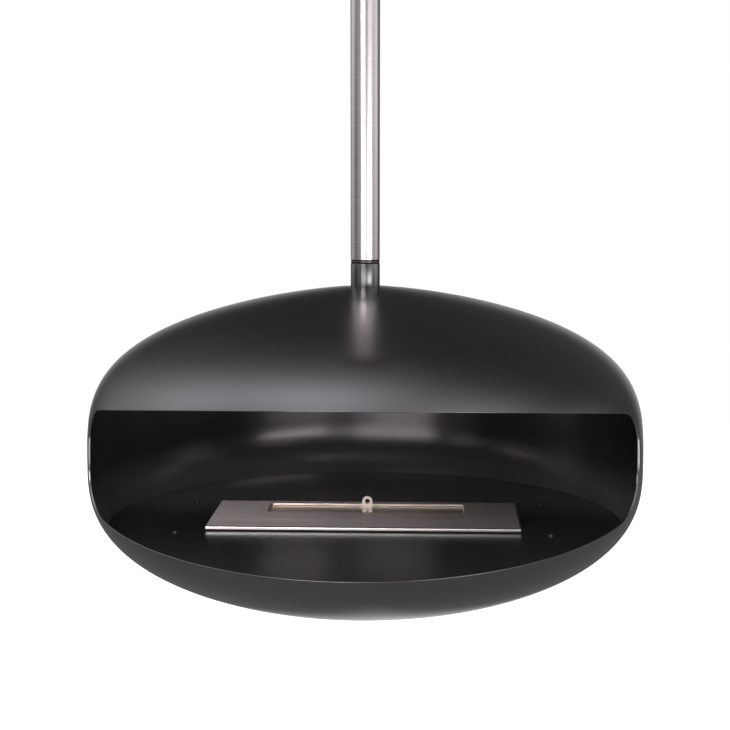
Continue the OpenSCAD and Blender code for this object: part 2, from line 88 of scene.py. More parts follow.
def addCamera(view):
    azimuth, pitch = radians(view["azimuth"]), radians(view["pitch"])
    distance, side = view["distance"], view["sideStep"]
    camera = showObject("photoCamera", bpy.data.cameras.new("photoCamera"))
    camera.data.lens, camera.data.sensor_width = view["lens"], view["sensor"]
    camera.location = (distance * sin(azimuth) + side * cos(azimuth),
                       -distance * cos(azimuth) + side * sin(azimuth), view["height"])
    camera.rotation_euler = Euler((pi / 2 - pitch, 0, azimuth))
    bpy.context.scene.camera = camera


addCamera(cameraView)
bpy.context.scene.view_settings.view_transform = "Standard"
print("camera placed")


# node helpers, for shader and geometry trees alike

def addNode(tree, kind, inputs=None, **settings):
    node = tree.nodes.new(kind)
    for key, value in settings.items():
        setattr(node, key, value)
    for key, value in (inputs or {}).items():
        if isinstance(value, bpy.types.NodeSocket):
            tree.links.new(value, node.inputs[key])
        else:
            node.inputs[key].default_value = value
    return node


def take(tree, kind, inputs=None, output=0, **settings):
    # adds a node and gives one of its outputs
    return addNode(tree, kind, inputs, **settings).outputs[output]


def calc(tree, operation, first, second=0.0):
    return take(tree, "ShaderNodeMath", {0: first, 1: second}, operation=operation)


def plus(tree, first, second):
    return calc(tree, "ADD", first, second)


def minus(tree, first, second):
    return calc(tree, "SUBTRACT", first, second)


def times(tree, first, second):
    return calc(tree, "MULTIPLY", first, second)


def splitAxes(tree, vector):
    return addNode(tree, "ShaderNodeSeparateXYZ", {0: vector}).outputs


def joinAxes(tree, x=0.0, y=0.0, z=0.0):
    return take(tree, "ShaderNodeCombineXYZ", {0: x, 1: y, 2: z})


# materials

everyWay = (1, 1, 1)


def newMaterial(name, baseColour, metallic, roughness, extra=None):
    material = bpy.data.materials.new(name)
    material.use_nodes = True
    material.diffuse_color = (*baseColour, 1)
    shader = material.node_tree.nodes["Principled BSDF"]
    values = {"Base Color": (*baseColour, 1), "Metallic": metallic, "Roughness": roughness, **(extra or {})}
    for key, value in values.items():
        shader.inputs[key].default_value = value
    return material, material.node_tree, shader


def objectPlace(tree):
    return take(tree, "ShaderNodeTexCoord", None, "Object")


def objectNoise(tree, stretch, scale, detail=2.0, shift=(0, 0, 0)):
    place = objectPlace(tree)
    mapped = take(tree, "ShaderNodeMapping", {"Vector": place, "Location": shift, "Scale": stretch})
    return take(tree, "ShaderNodeTexNoise", {"Vector": mapped, "Scale": scale, "Detail": detail}, "Fac")


def remap(tree, value, low, high, fromLow=0.3, fromHigh=0.7):
    return take(tree, "ShaderNodeMapRange", {
        "Value": value, "From Min": fromLow, "From Max": fromHigh, "To Min": low, "To Max": high})


def blendColours(tree, factor, first, second):
    one, two = (c if isinstance(c, bpy.types.NodeSocket) else (*c, 1) for c in (first, second))
    return take(tree, "ShaderNodeMix", {"Factor": factor, 6: one, 7: two}, 2, data_type="RGBA")


def dressShader(tree, shader, colour, roughness, relief):
    # each layer of relief is a height field, its depth in metres and its strength
    tree.links.new(colour, shader.inputs["Base Color"])
    if roughness is not None:
        tree.links.new(roughness, shader.inputs["Roughness"])
    under = {}
    for height, distance, strength in relief:
        normal = take(tree, "ShaderNodeBump", {
            "Height": height, "Distance": distance, "Strength": strength, **under})
        under = {"Normal": normal}
    tree.links.new(normal, shader.inputs["Normal"])


enamel = {
    "cloudScale": 7, "peelScale": 420, "speckScale": 900,
    "peelDepth": 0.00012, "speckDepth": 0.00005,
    "waver": 0.02,           # how far the painted light's border wanders, in metres
}


def coating(name, dark, light, roughLow, roughHigh, peel=1.0, extra=None, paintedLight=None):
    # stove enamel: fine orange peel, a faint grain and slow changes of tone and gloss;
    # the optional last argument (axis, start, end, colour) is painted light: a lighter grey laid along an
    # axis
    material, tree, shader = newMaterial(name, dark, 0.0, roughHigh, extra)
    cloud = objectNoise(tree, everyWay, enamel["cloudScale"], 3)
    colour = blendColours(tree, remap(tree, cloud, 0, 1), dark, light)
    # painted light: the colour turns a lighter grey along the axis
    if paintedLight:
        axis, start, end, litGrey = paintedLight
        along = splitAxes(tree, objectPlace(tree))[axis]
        along = plus(tree, along, times(tree, minus(tree, cloud, 0.5), enamel["waver"]))
        colour = blendColours(tree, remap(tree, along, 0, 1, start, end), colour, litGrey)
    speck = objectNoise(tree, everyWay, enamel["speckScale"])
    patchy = plus(tree, times(tree, cloud, 0.6), times(tree, speck, 0.4))
    dressShader(tree, shader, colour, remap(tree, patchy, roughLow, roughHigh), [
        (objectNoise(tree, everyWay, enamel["peelScale"]), enamel["peelDepth"] * peel, 0.30),
        (speck, enamel["speckDepth"] * peel, 0.25)])
    return material


slotSizes = {"width": 0.274, "front": 0.011, "rear": 0.072}
slotTintSizes = {"share": 0.8, "reach": 0.012}


def slotTint(tree, base, colour):
    # a warmer straw colour around the slot that fades with the distance from it
    parts = splitAxes(tree, objectPlace(tree))
    halfWidth = slotSizes["width"] / 2
    reach = 0.0
    for axis, (low, high) in enumerate(((-halfWidth, halfWidth), (slotSizes["front"], slotSizes["rear"]))):
        offset = calc(tree, "ABSOLUTE", minus(tree, parts[axis], (low + high) / 2))
        reach = calc(tree, "MAXIMUM", minus(tree, offset, (high - low) / 2), reach)
    share = remap(tree, reach, slotTintSizes["share"], 0.0, 0.0, slotTintSizes["reach"])
    return blendColours(tree, share, base, colour)


def brushedMetal(name, dark, light, roughLow, roughHigh, stretch, depth, grain=0.0, slotTintColour=None, extra=None):
    # fine scratches along the axis whose stretch is small; grain draws the gloss out across them
    material, tree, shader = newMaterial(name, light, 1.0, roughHigh, extra)
    if grain:
        shader.inputs["Anisotropic"].default_value = grain
        shader.inputs["Anisotropic Rotation"].default_value = 0.25
        tangent = take(tree, "ShaderNodeTangent", direction_type="UV_MAP", uv_map="grain")
        tree.links.new(tangent, shader.inputs["Tangent"])
    hair = objectNoise(tree, stretch, 1, 3)
    broad = objectNoise(tree, [s * 0.12 for s in stretch], 1, 2, (3, 7, 1))
    tone = plus(tree, times(tree, hair, 0.5), times(tree, broad, 0.5))
    colour = blendColours(tree, remap(tree, tone, 0, 1), dark, light)
    if slotTintColour:
        colour = slotTint(tree, colour, slotTintColour)
    dressShader(tree, shader, colour, remap(tree, tone, roughLow, roughHigh), [(hair, depth, 0.35)])
    return material


def platedSteel(name, dark, light, cast, roughLow, roughHigh):
    # plating with a cloudy tone, and a faint cast of another colour in places
    material, tree, shader = newMaterial(name, dark, 1.0, roughHigh)
    cloud = objectNoise(tree, everyWay, 60, 3)
    where = objectNoise(tree, everyWay, 25, 2, (5, 2, 9))
    base = blendColours(tree, remap(tree, cloud, 0, 1), dark, light)
    dressShader(tree, shader, blendColours(tree, remap(tree, where, 0, 0.35), base, cast),
                remap(tree, cloud, roughLow, roughHigh), [(objectNoise(tree, everyWay, 1800), 0.00003, 0.3)])
    return material


def wovenFibre(name, dark, light):
    material, tree, shader = newMaterial(name, dark, 0.0, 0.9, {"Sheen Weight": 0.2})
    turned = take(tree, "ShaderNodeMapping", {"Vector": objectPlace(tree), "Rotation": (0, 0, pi / 4)})
    waves = [take(tree, "ShaderNodeTexWave", {"Vector": turned, "Scale": 260, "Distortion": 0.6, "Detail": 1},
                  "Fac", bands_direction=axis) for axis in "XY"]
    weave = calc(tree, "MAXIMUM", *waves)
    dressShader(tree, shader, blendColours(tree, weave, dark, light), None,
                [(weave, 0.0003, 0.6), (objectNoise(tree, everyWay, 2500), 0.0001, 0.4)])
    return material


def ceramicWool(name, shade, white):
    material, tree, shader = newMaterial(name, white, 0.0, 0.95, {
        "Sheen Weight": 0.4, "Subsurface Weight": 0.15, "Subsurface Scale": 0.002})
    tuft = objectNoise(tree, (1, 1, 1.6), 90, 5)
    fibre = objectNoise(tree, (300, 300, 2400), 1, 4)
    dressShader(tree, shader, blendColours(tree, remap(tree, tuft, 0, 1), shade, white), None,
                [(tuft, 0.0012, 0.7), (fibre, 0.0002, 0.5)])
    return material


def sinteredBronze(name, dark, light):
    material, tree, shader = newMaterial(name, light, 1.0, 0.5)
    pores = take(tree, "ShaderNodeTexVoronoi", {"Vector": objectPlace(tree), "Scale": 2200}, "Distance")
    dressShader(tree, shader, blendColours(tree, pores, dark, light), remap(tree, pores, 0.6, 0.35, 0.0, 0.8),
                [(pores, 0.00006, 0.5)])
    return material


coatOutside = coating("coatOutside", (0.013, 0.013, 0.014), (0.017, 0.017, 0.018), 0.19, 0.25, 1.0,
                      {"IOR": 2.2, "Specular Tint": (0.97, 0.94, 1.0, 1)})
# painted light: towards the bottom the inner wall turns a lighter grey
coatInside = coating("coatInside", (0.028, 0.028, 0.029), (0.038, 0.038, 0.039), 0.16, 0.22, 0.5,
                     {"IOR": 2.1, "Specular Tint": (1.0, 0.93, 0.98, 1)},
                     (2, -0.905, -0.95, (0.15, 0.15, 0.152)))
# painted light: the floor turns a lighter grey towards the rear
coatFloor = coating("coatFloor", (0.022, 0.022, 0.023), (0.028, 0.028, 0.029), 0.19, 0.24, 0.5,
                    {"IOR": 2.7}, (1, 0.02, 0.14, (0.17, 0.17, 0.172)))
coatCollar = coating("coatCollar", (0.010, 0.010, 0.011), (0.014, 0.014, 0.015), 0.17, 0.21, 0.3,
                     {"IOR": 3.0})
coatEdge = coating("coatEdge", (0.020, 0.020, 0.021), (0.026, 0.026, 0.027), 0.14, 0.20, 0.3,
                   {"IOR": 2.5})
# painted shade: a near-black dull coat for the collar ring's shadow gap and the spindle's shoulder, where
# only shade falls
coatRecess = coating("coatRecess", (0.004, 0.004, 0.004), (0.007, 0.007, 0.007), 0.60, 0.75, 1.0,
                     {"Specular IOR Level": 0.1})
poleSteel = brushedMetal("poleSteel", (0.98, 0.885, 0.90), (1.0, 0.91, 0.925), 0.25, 0.28,
                         (9, 9, 1500), 0.0000005, 0.6)
plateSteel = brushedMetal("plateSteel", (0.86, 0.795, 0.79), (1.0, 0.925, 0.92), 0.28, 0.35,
                          (9, 1600, 1600), 0.000004, 1.0, (1.0, 0.84, 0.72))
# partly painted highlight: a lighter, even copy of the plate steel for the folds and slot walls, raised to
# make the front edge bright; partly their smoother finish
foldSteel = brushedMetal("foldSteel", (0.98, 0.95, 0.94), (1.0, 0.97, 0.96), 0.27, 0.29,
                         (9, 1600, 1600), 0.0000002, 0.0, (1.0, 0.90, 0.82))
sheetSteel = brushedMetal("sheetSteel", (0.50, 0.48, 0.46), (0.62, 0.60, 0.58), 0.30, 0.45,
                          (60, 700, 700), 0.00001, 0.5)
shutterSteel = brushedMetal("shutterSteel", (1.0, 0.80, 0.67), (1.0, 0.84, 0.72), 0.26, 0.31,
                            (12, 1400, 1400), 0.000001, 1.0,
                            extra={"Coat Weight": 1.0, "Coat Roughness": 0.26, "Coat IOR": 1.5})
tabSteel = brushedMetal("tabSteel", (1.0, 0.92, 0.84), (1.0, 0.95, 0.87), 0.34, 0.40,
                        (1200, 60, 60), 0.000004)
bearingSteel = brushedMetal("bearingSteel", (0.60, 0.60, 0.61), (0.72, 0.72, 0.73), 0.12, 0.22,
                            (120, 120, 2600), 0.000005)
screwSteel = platedSteel("screwSteel", (0.10, 0.10, 0.105), (0.15, 0.15, 0.155), (0.15, 0.14, 0.12),
                         0.42, 0.55)
zincSteel = platedSteel("zincSteel", (0.52, 0.53, 0.55), (0.62, 0.63, 0.65), (0.66, 0.62, 0.50),
                        0.26, 0.42)
bushBronze = sinteredBronze("bushBronze", (0.35, 0.22, 0.10), (0.62, 0.42, 0.20))
gasketWeave = wovenFibre("gasketWeave", (0.010, 0.010, 0.010), (0.035, 0.034, 0.033))
padWool = ceramicWool("padWool", (0.66, 0.63, 0.57), (0.84, 0.82, 0.77))
print("materials made")


# mesh helpers

softening = {
    "weld": 2e-6,            # corners nearer than this become one
    "flat": 0.5,             # faces within this many degrees are merged
    "sharp": 35,             # edges over this many degrees are rounded
    "segments": 2,
    "footReach": 1e-5,       # edges no higher than this above a welded foot stay sharp
}
onAxis = 1e-6            # a radius below this is taken as none


def smooth(mesh):
    mesh.polygons.foreach_set("use_smooth", [True] * len(mesh.polygons))


def shadeByAngle(mesh, sharpAngle=35):
    smooth(mesh)
    mesh.set_sharp_from_angle(angle=radians(sharpAngle))


def meshOf(name, work):
    mesh = bpy.data.meshes.new(name)
    work.to_mesh(mesh)
    work.free()
    return mesh


def meshFrom(name, points, faces, material, sharpAngle=35):
    mesh = bpy.data.meshes.new(name)
    mesh.from_pydata(points, [], faces)
    mesh.materials.append(material)
    work = bmesh.new()
    work.from_mesh(mesh)
    bmesh.ops.recalc_face_normals(work, faces=work.faces)
    work.to_mesh(mesh)
    work.free()
    shadeByAngle(mesh, sharpAngle)
    return mesh


def evaluatedMesh(piece):
    return bpy.data.meshes.new_from_object(piece.evaluated_get(bpy.context.evaluated_depsgraph_get()))


def flattened(mesh):
    # large faces keep their own normal, so that what they mirror stays straight
    piece = showObject(mesh.name, mesh)
    piece.modifiers.new("flat", "WEIGHTED_NORMAL").keep_sharp = True
    flat = evaluatedMesh(piece)
    name = mesh.name
    bpy.data.objects.remove(piece)
    bpy.data.meshes.remove(mesh)
    flat.name = name
    return flat


def paintFaces(mesh, material, rule):
    # a second material for the faces that the rule picks
    mesh.materials.append(material)
    for polygon in mesh.polygons:
        if rule(polygon):
            polygon.material_index = 1


def grainMap(mesh, turned=False):
    # a UV map for the direction of the scratches: round the axis on turned pieces, else along X or Y
    layer = mesh.uv_layers.new(name="grain").data
    for polygon in mesh.polygons:
        nx, ny, nz = (abs(a) for a in polygon.normal)
        middle = atan2(polygon.center.y, polygon.center.x)
        for index in polygon.loop_indices:
            x, y, z = mesh.vertices[mesh.loops[index].vertex_index].co
            if turned:
                turn = (atan2(y, x) - middle + pi) % (2 * pi) - pi + middle
                layer[index].uv = (turn, hypot(x, y) * 10 if nz > 0.7 else z * 10)
            elif nz >= max(nx, ny):
                layer[index].uv = (x, y)
            else:
                layer[index].uv = (x, z) if ny >= nx else (y, z)


def filletLoop(corners, steps=5):
    # corners are (a, b, radius); gives the closed outline with each corner rounded
    outline = []
    for i, (a, b, radius) in enumerate(corners):
        if radius <= 0:
            outline.append((a, b))
            continue
        here = Vector((a, b))
        back = Vector(corners[i - 1][:2]) - here
        ahead = Vector(corners[(i + 1) % len(corners)][:2]) - here
        half = back.angle(ahead) / 2
        reach = min(radius / tan(half), back.length * 0.48, ahead.length * 0.48)
        radius = reach * tan(half)
        middle = here + (back.normalized() + ahead.normalized()).normalized() * (radius / sin(half))
        start = here + back.normalized() * reach - middle
        end = here + ahead.normalized() * reach - middle
        turn = start.angle_signed(end)
        for k in range(steps + 1):
            angle = -turn * k / steps
            outline.append(tuple(middle + Vector((start.x * cos(angle) - start.y * sin(angle),
                                                  start.x * sin(angle) + start.y * cos(angle)))))
    return outline


def ringRadius(ring, angle):
    # a ring is (radius, z), or (half the width across flats, z, sides, largest radius)
    if len(ring) == 2:
        return ring[0]
    flat, _, sides, limit = ring
    sector = 2 * pi / sides
    return min(flat / cos((angle % sector) - sector / 2), limit)


def lathe(name, rings, material, segments=96, closed=True, lift=0.0):
    # turns the rings about the axis; closed joins the last ring to the first
    points, loops = [], []
    for ring in rings:
        z = lift + ring[1]
        if ring[0] < onAxis:
            loops.append([len(points)] * segments)
            points.append((0, 0, z))
            continue
        loops.append(list(range(len(points), len(points) + segments)))
        for k in range(segments):
            angle = 2 * pi * k / segments
            radius = ringRadius(ring, angle)
            points.append((radius * cos(angle), radius * sin(angle), z))
    faces = []
    for i in range(len(loops) if closed else len(loops) - 1):
        one, two = loops[i], loops[(i + 1) % len(loops)]
        for k in range(segments):
            m = (k + 1) % segments
            corners = [one[k], one[m], two[m], two[k]]
            face = [c for j, c in enumerate(corners) if c != corners[j - 1]]
            if len(face) > 2:
                faces.append(face)
    mesh = meshFrom(name, points, faces, material)
    grainMap(mesh, True)
    return mesh


def softened(name, node, material, width, foot=None):
    # a copy of a CAD node with its sharp edges rounded, but for those at its welded foot
    work = bmesh.new()
    work.from_mesh(frame["nodes"][node].data)
    bmesh.ops.remove_doubles(work, verts=work.verts, dist=softening["weld"])
    bmesh.ops.dissolve_limit(work, angle_limit=radians(softening["flat"]), verts=work.verts, edges=work.edges)
    if width:
        sharp = radians(softening["sharp"])
        edges = [e for e in work.edges if len(e.link_faces) == 2 and e.calc_face_angle(0) > sharp]
        if foot is not None:
            edges = [e for e in edges if max(v.co.z for v in e.verts) > foot + softening["footReach"]]
        bmesh.ops.bevel(work, geom=edges, offset=width, segments=softening["segments"], profile=0.5,
                        affect="EDGES", clamp_overlap=True, loop_slide=False)
    mesh = meshOf(name, work)
    mesh.materials.clear()
    mesh.materials.append(material)
    mesh.polygons.foreach_set("material_index", [0] * len(mesh.polygons))
    shadeByAngle(mesh, softening["sharp"])
    grainMap(mesh)
    return flattened(mesh)


def handOver(mesh, *nodes):
    # the mesh stands for these CAD nodes and hides them: it rides on their body
    piece = showObject(mesh.name, mesh)
    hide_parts(*nodes)
    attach(piece, frame["nodes"][nodes[0]]["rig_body"])
    return piece


# geometry-node helpers

socketKinds = {float: "NodeSocketFloat", int: "NodeSocketInt"}


def newTree(name, inputs):
    # inputs give each socket's default value, or its kind where it has none
    tree = bpy.data.node_groups.new(name, "GeometryNodeTree")
    tree.interface.new_socket("Geometry", in_out="INPUT", socket_type="NodeSocketGeometry")
    for label, value in inputs.items():
        if isinstance(value, str):
            tree.interface.new_socket(label, in_out="INPUT", socket_type=value)
        else:
            socket = tree.interface.new_socket(label, in_out="INPUT", socket_type=socketKinds[type(value)])
            socket.default_value = value
    tree.interface.new_socket("Geometry", in_out="OUTPUT", socket_type="NodeSocketGeometry")
    return tree, tree.nodes.new("NodeGroupInput").outputs


def endTree(tree, geometry, material):
    real = take(tree, "GeometryNodeRealizeInstances", {0: geometry})
    painted = take(tree, "GeometryNodeSetMaterial", {"Geometry": real, "Material": material})
    addNode(tree, "NodeGroupOutput", {0: painted})


def moved(tree, geometry, translation):
    return take(tree, "GeometryNodeTransform", {"Geometry": geometry, "Translation": translation})


def welded(tree, distance, *parts):
    # the parts joined, with corners that touch made one
    whole = tree.nodes.new("GeometryNodeJoinGeometry")
    for part in parts:
        tree.links.new(part, whole.inputs[0])
    return take(tree, "GeometryNodeMergeByDistance", {"Geometry": whole.outputs[0], "Distance": distance})


def growMesh(name, tree, values):
    # runs a tree on an empty object and keeps the result as a plain mesh
    seed = showObject(name, bpy.data.meshes.new(name))
    modifier = seed.modifiers.new("grow", "NODES")
    modifier.node_group = tree
    for item in tree.interface.items_tree:
        if item.in_out == "INPUT" and item.name in values:
            modifier[item.identifier] = values[item.name]
    bpy.context.view_layer.update()
    mesh = evaluatedMesh(seed)
    seed.modifiers.remove(modifier)
    bpy.data.objects.remove(seed)
    mesh.name = name
    return mesh


# stage: white floor that keeps the shadow, white studio behind

stageSizes = {
    "floorHeight": -2.2,
    "floorRadius": 9.0,
    "shadowReach": (1.0, 2.6),     # between these radii the floor turns plain white
    "sweepReach": (0.4, 2.4),      # the same for the strip that mirrors see
    "sweepSlope": 3.0,             # how far back its sides run for each metre sideways
    "floorColour": (0.55, 0.55, 0.55),
    "floorGlow": 0.45,
    "horizon": 0.12,               # sine of the elevation up to which the studio is white
    "horizonBlur": 0.1,
    "studioDark": 0.02,
    "studioWhite": 0.7,
    "studioReach": (0.88, 0.99),   # it fades in between these cosines of the angle from straight back
    "ambient": 0.05,
    "mirroredFloor": 0.52,         # share of the floor's own colour that mirrors see
}

# soft light from the studio's walls and ceiling: azimuth, elevation, half width in degrees, radiance
studioGlows = {
    "ceilingLeft": (-40, 70, 20, 1.5),
    "leftHigh": (-93, 39, 20, 1.22),
    "leftSide": (-118, 10, 20, 0.5),
    "rightHigh": (54, 42, 20, 0.95),
    "rightSide": (62, 10, 18, 0.5),
    "rightRear": (98, 4, 15, 0.8),
    "backRight": (150, 12, 20, 0.08),
    "frontHigh": (-15, 42, 20, 0.3),
}


def emptyTree(owner):
    owner.use_nodes = True
    owner.node_tree.nodes.clear()
    return owner.node_tree


def rayKinds(tree):
    # is it the camera's ray, and is it one that a mirror or glass has turned
    rays = addNode(tree, "ShaderNodeLightPath").outputs
    return rays["Is Camera Ray"], calc(tree, "MAXIMUM", rays["Is Glossy Ray"], rays["Is Transmission Ray"])


def floorMaterial(stage):
    material = bpy.data.materials.new("studioFloor")
    tree = emptyTree(material)
    place = objectPlace(tree)
    level = take(tree, "ShaderNodeVectorMath", {0: place, 1: (1, 1, 0)}, operation="MULTIPLY")
    away = take(tree, "ShaderNodeVectorMath", {0: level}, "Value", operation="LENGTH")
    glow = remap(tree, away, stage["floorGlow"], 1.0, *stage["shadowReach"])
    # mirrored, only the sweep behind the hearth shines: a wedge that widens away from the camera
    parts = splitAxes(tree, place)
    behind = minus(tree, parts[1], times(tree, calc(tree, "ABSOLUTE", parts[0]), stage["sweepSlope"]))
    sweep = remap(tree, behind, 0.0, 1.0, *stage["sweepReach"])
    seen, mirrored = rayKinds(tree)
    strength = calc(tree, "MAXIMUM", times(tree, glow, seen), times(tree, sweep, mirrored))
    light = take(tree, "ShaderNodeEmission", {"Strength": strength})
    dimmed = [c * stage["mirroredFloor"] for c in stage["floorColour"]]
    colour = blendColours(tree, mirrored, stage["floorColour"], dimmed)
    matt = take(tree, "ShaderNodeBsdfDiffuse", {"Color": colour})
    both = take(tree, "ShaderNodeAddShader", {0: light, 1: matt})
    addNode(tree, "ShaderNodeOutputMaterial", {"Surface": both})
    return material


def addFloor(stage):
    mesh = lathe("studioFloor", [(0, 0), (stage["floorRadius"], 0)], floorMaterial(stage), 64, False,
                 stage["floorHeight"])
    if mesh.polygons[0].normal.z < 0:
        mesh.flip_normals()
    showObject("studioFloor", mesh)


def addWorld(stage):
    world = bpy.data.worlds.new("studio")
    bpy.context.scene.world = world
    tree = emptyTree(world)
    direction = take(tree, "ShaderNodeTexCoord", None, "Generated")
    parts = splitAxes(tree, direction)
    horizon, blur = stage["horizon"], stage["horizonBlur"]
    low = remap(tree, parts[2], 1.0, 0.0, horizon - blur, horizon + blur)
    behind = remap(tree, parts[1], 0.0, 1.0, *stage["studioReach"])
    studio = remap(tree, times(tree, low, behind), stage["studioDark"], stage["studioWhite"], 0.0, 1.0)
    seen, mirrored = rayKinds(tree)
    unseen = plus(tree, times(tree, mirrored, studio),
                  times(tree, minus(tree, 1.0, mirrored), stage["ambient"]))
    for azimuth, elevation, halfWidth, radiance in studioGlows.values():
        towards = take(tree, "ShaderNodeVectorMath", {0: direction, 1: outwards(azimuth, elevation)}, "Value",
                       operation="DOT_PRODUCT")
        fall = log(2) / (1 - cos(radians(halfWidth)))
        lobe = calc(tree, "EXPONENT", times(tree, minus(tree, towards, 1.0), fall))
        unseen = plus(tree, unseen, times(tree, lobe, radiance))
    strength = calc(tree, "MAXIMUM", seen, unseen)
    glow = take(tree, "ShaderNodeBackground", {"Color": (1, 1, 1, 1), "Strength": strength})
    addNode(tree, "ShaderNodeOutputWorld", {"Surface": glow})


# each softbox: azimuth and elevation as seen from the hearth, distance, width, height, radiance, colour
softboxes = {
    "frontLeftBox": (-11.5, -5.5, 4.5, 3.00, 1.35, 1.8, (0.98, 0.97, 1.0)),
    "frontLeftRim": (-11.5, 5.5, 4.5, 3.00, 0.39, 0.8, (0.98, 0.97, 1.0)),
    "frontRightLow": (36.5, -12.5, 4.5, 2.44, 0.87, 9, (1.0, 0.95, 0.98)),
    "frontRightBox": (37.5, -2.5, 4.5, 2.66, 0.71, 2.3, (1.0, 0.96, 0.98)),
    "frontGap": (14, -5.5, 4.6, 1.12, 1.37, 0.8, (1.0, 0.98, 0.98)),
    "highLeftBox": (-16, 23.5, 4, 1.83, 1.34, 6.2, (1.0, 0.95, 0.93)),
    "highRightBox": (30.5, 30, 3.5, 1.23, 1.23, 0.8, (1.0, 0.97, 0.94)),
    "leftFront": (-50, 7.5, 3.4, 1.43, 1.51, 0.25, (1.0, 0.98, 0.98)),
}
lightCentre = Vector((0, 0, -0.88))


def addSoftboxes(boxes, centre):
    for name, (azimuth, elevation, distance, width, height, radiance, colour) in boxes.items():
        out = outwards(azimuth, elevation)
        lamp = showObject(name, bpy.data.lights.new(name, "AREA"))
        lamp.data.shape = "RECTANGLE"
        lamp.data.size, lamp.data.size_y = width, height
        lamp.data.energy = radiance * pi * width * height
        lamp.data.color = colour
        lamp.location = centre + out * distance
        lamp.rotation_euler = out.to_track_quat("Z", "Y").to_euler()
        lamp.visible_camera = False


addFloor(stageSizes)
addWorld(stageSizes)
addSoftboxes(softboxes, lightCentre)
print("stage and lights placed")


# shell: the pebble, grown from its side curve, then cut and given its rounded mouth edge

shellSizes = {
    "Radius": 0.380,
    "Dome height": 0.241,
    "Bowl height": 0.199,
    "Dome bulge": 1.49,
    "Dome square": 3.42,
    "Bowl bulge": 1.89,
    "Bowl square": 2.63,
    "Pad radius": 0.024,
    "Hole radius": 0.0112,
    "Around": 320,
    "Dome rings": 78,
    "Bowl rings": 60,
    "Pad rings": 4,
}
shellSizes["Widest at"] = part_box("bowl")[0].z + shellSizes["Bowl height"]
mouth = {
    "wall": 0.003,
    "side": 0.108,           # how far in front of the axis the mouth's sides stand
    "top": 0.066,            # heights above and below the widest line, under the axis
    "topAngle": 8.4,
    "bottom": 0.0275,
    "bottomAngle": 8.8,
    "topCorner": 0.045,
    "bottomCorner": 0.070,
    "edgeRound": 0.0008,     # how far the rounded edge stands out from the sheet
    "edgeSquare": 3,
    "edgeSteps": 8,
    "liningReach": 0.025,    # the inner sheet follows the cut over this distance
    "snap": 0.0011,          # corners nearer to the cut than this move onto it
    "passes": 3,
    "halvings": 30,
}


def pebbleTree(sizes):
    tree, given = newTree("pebbleShell", {**sizes, "Material": "NodeSocketMaterial"})

    def sheet(name):
        # a grid to bend round the axis, with its turn and its share of the way outwards
        grid = take(tree, "GeometryNodeMeshGrid", {
            "Size X": 1.0, "Size Y": 1.0,
            "Vertices X": plus(tree, given["Around"], 1.0), "Vertices Y": given[name + " rings"]})
        place = splitAxes(tree, take(tree, "GeometryNodeInputPosition"))
        return grid, times(tree, plus(tree, place[0], 0.5), 2 * pi), plus(tree, place[1], 0.5)

    def bend(geometry, turn, radius, z):
        spot = joinAxes(tree, times(tree, radius, calc(tree, "COSINE", turn)),
                        times(tree, radius, calc(tree, "SINE", turn)), z)
        return take(tree, "GeometryNodeSetPosition", {"Geometry": geometry, "Position": spot})

    def rounded(value, bulge):
        return calc(tree, "POWER", value, calc(tree, "DIVIDE", 2.0, bulge))

    def half(name, startAngle, upwards):
        grid, turn, share = sheet(name)
        bulge, square, height = (given[name + key] for key in (" bulge", " square", " height"))
        step = calc(tree, "MINIMUM", calc(tree, "MAXIMUM", share, 0.0), 1.0)
        # an even walk along the curve, from the axis to the widest line
        rise = calc(tree, "POWER", step, times(tree, bulge, 0.5))
        fall = calc(tree, "POWER", minus(tree, 1.0, step), times(tree, square, 0.5))
        even = calc(tree, "DIVIDE", rise, plus(tree, rise, fall))
        angle = plus(tree, startAngle, times(tree, even, minus(tree, pi / 2, startAngle)))
        across = rounded(calc(tree, "MAXIMUM", calc(tree, "SINE", angle), 0.0), bulge)
        along = rounded(calc(tree, "MAXIMUM", calc(tree, "COSINE", angle), 0.0), square)
        lift = times(tree, times(tree, along, height), upwards)
        return bend(grid, turn, times(tree, across, given["Radius"]), plus(tree, given["Widest at"], lift))

    padShare = calc(tree, "DIVIDE", given["Pad radius"], given["Radius"])
    padAngle = calc(tree, "ARCSINE", calc(tree, "POWER", padShare, times(tree, given["Dome bulge"], 0.5)))
    dome = half("Dome", padAngle, 1.0)
    bowl = half("Bowl", 0.0, -1.0)

    # flat pad under the collar
    grid, turn, share = sheet("Pad")
    width = minus(tree, given["Pad radius"], given["Hole radius"])
    padRise = rounded(calc(tree, "COSINE", padAngle), given["Dome square"])
    pad = bend(grid, turn, plus(tree, given["Hole radius"], times(tree, share, width)),
               plus(tree, given["Widest at"], times(tree, padRise, given["Dome height"])))
    endTree(tree, welded(tree, softening["weld"], dome, bowl, pad), given["Material"])
    return tree


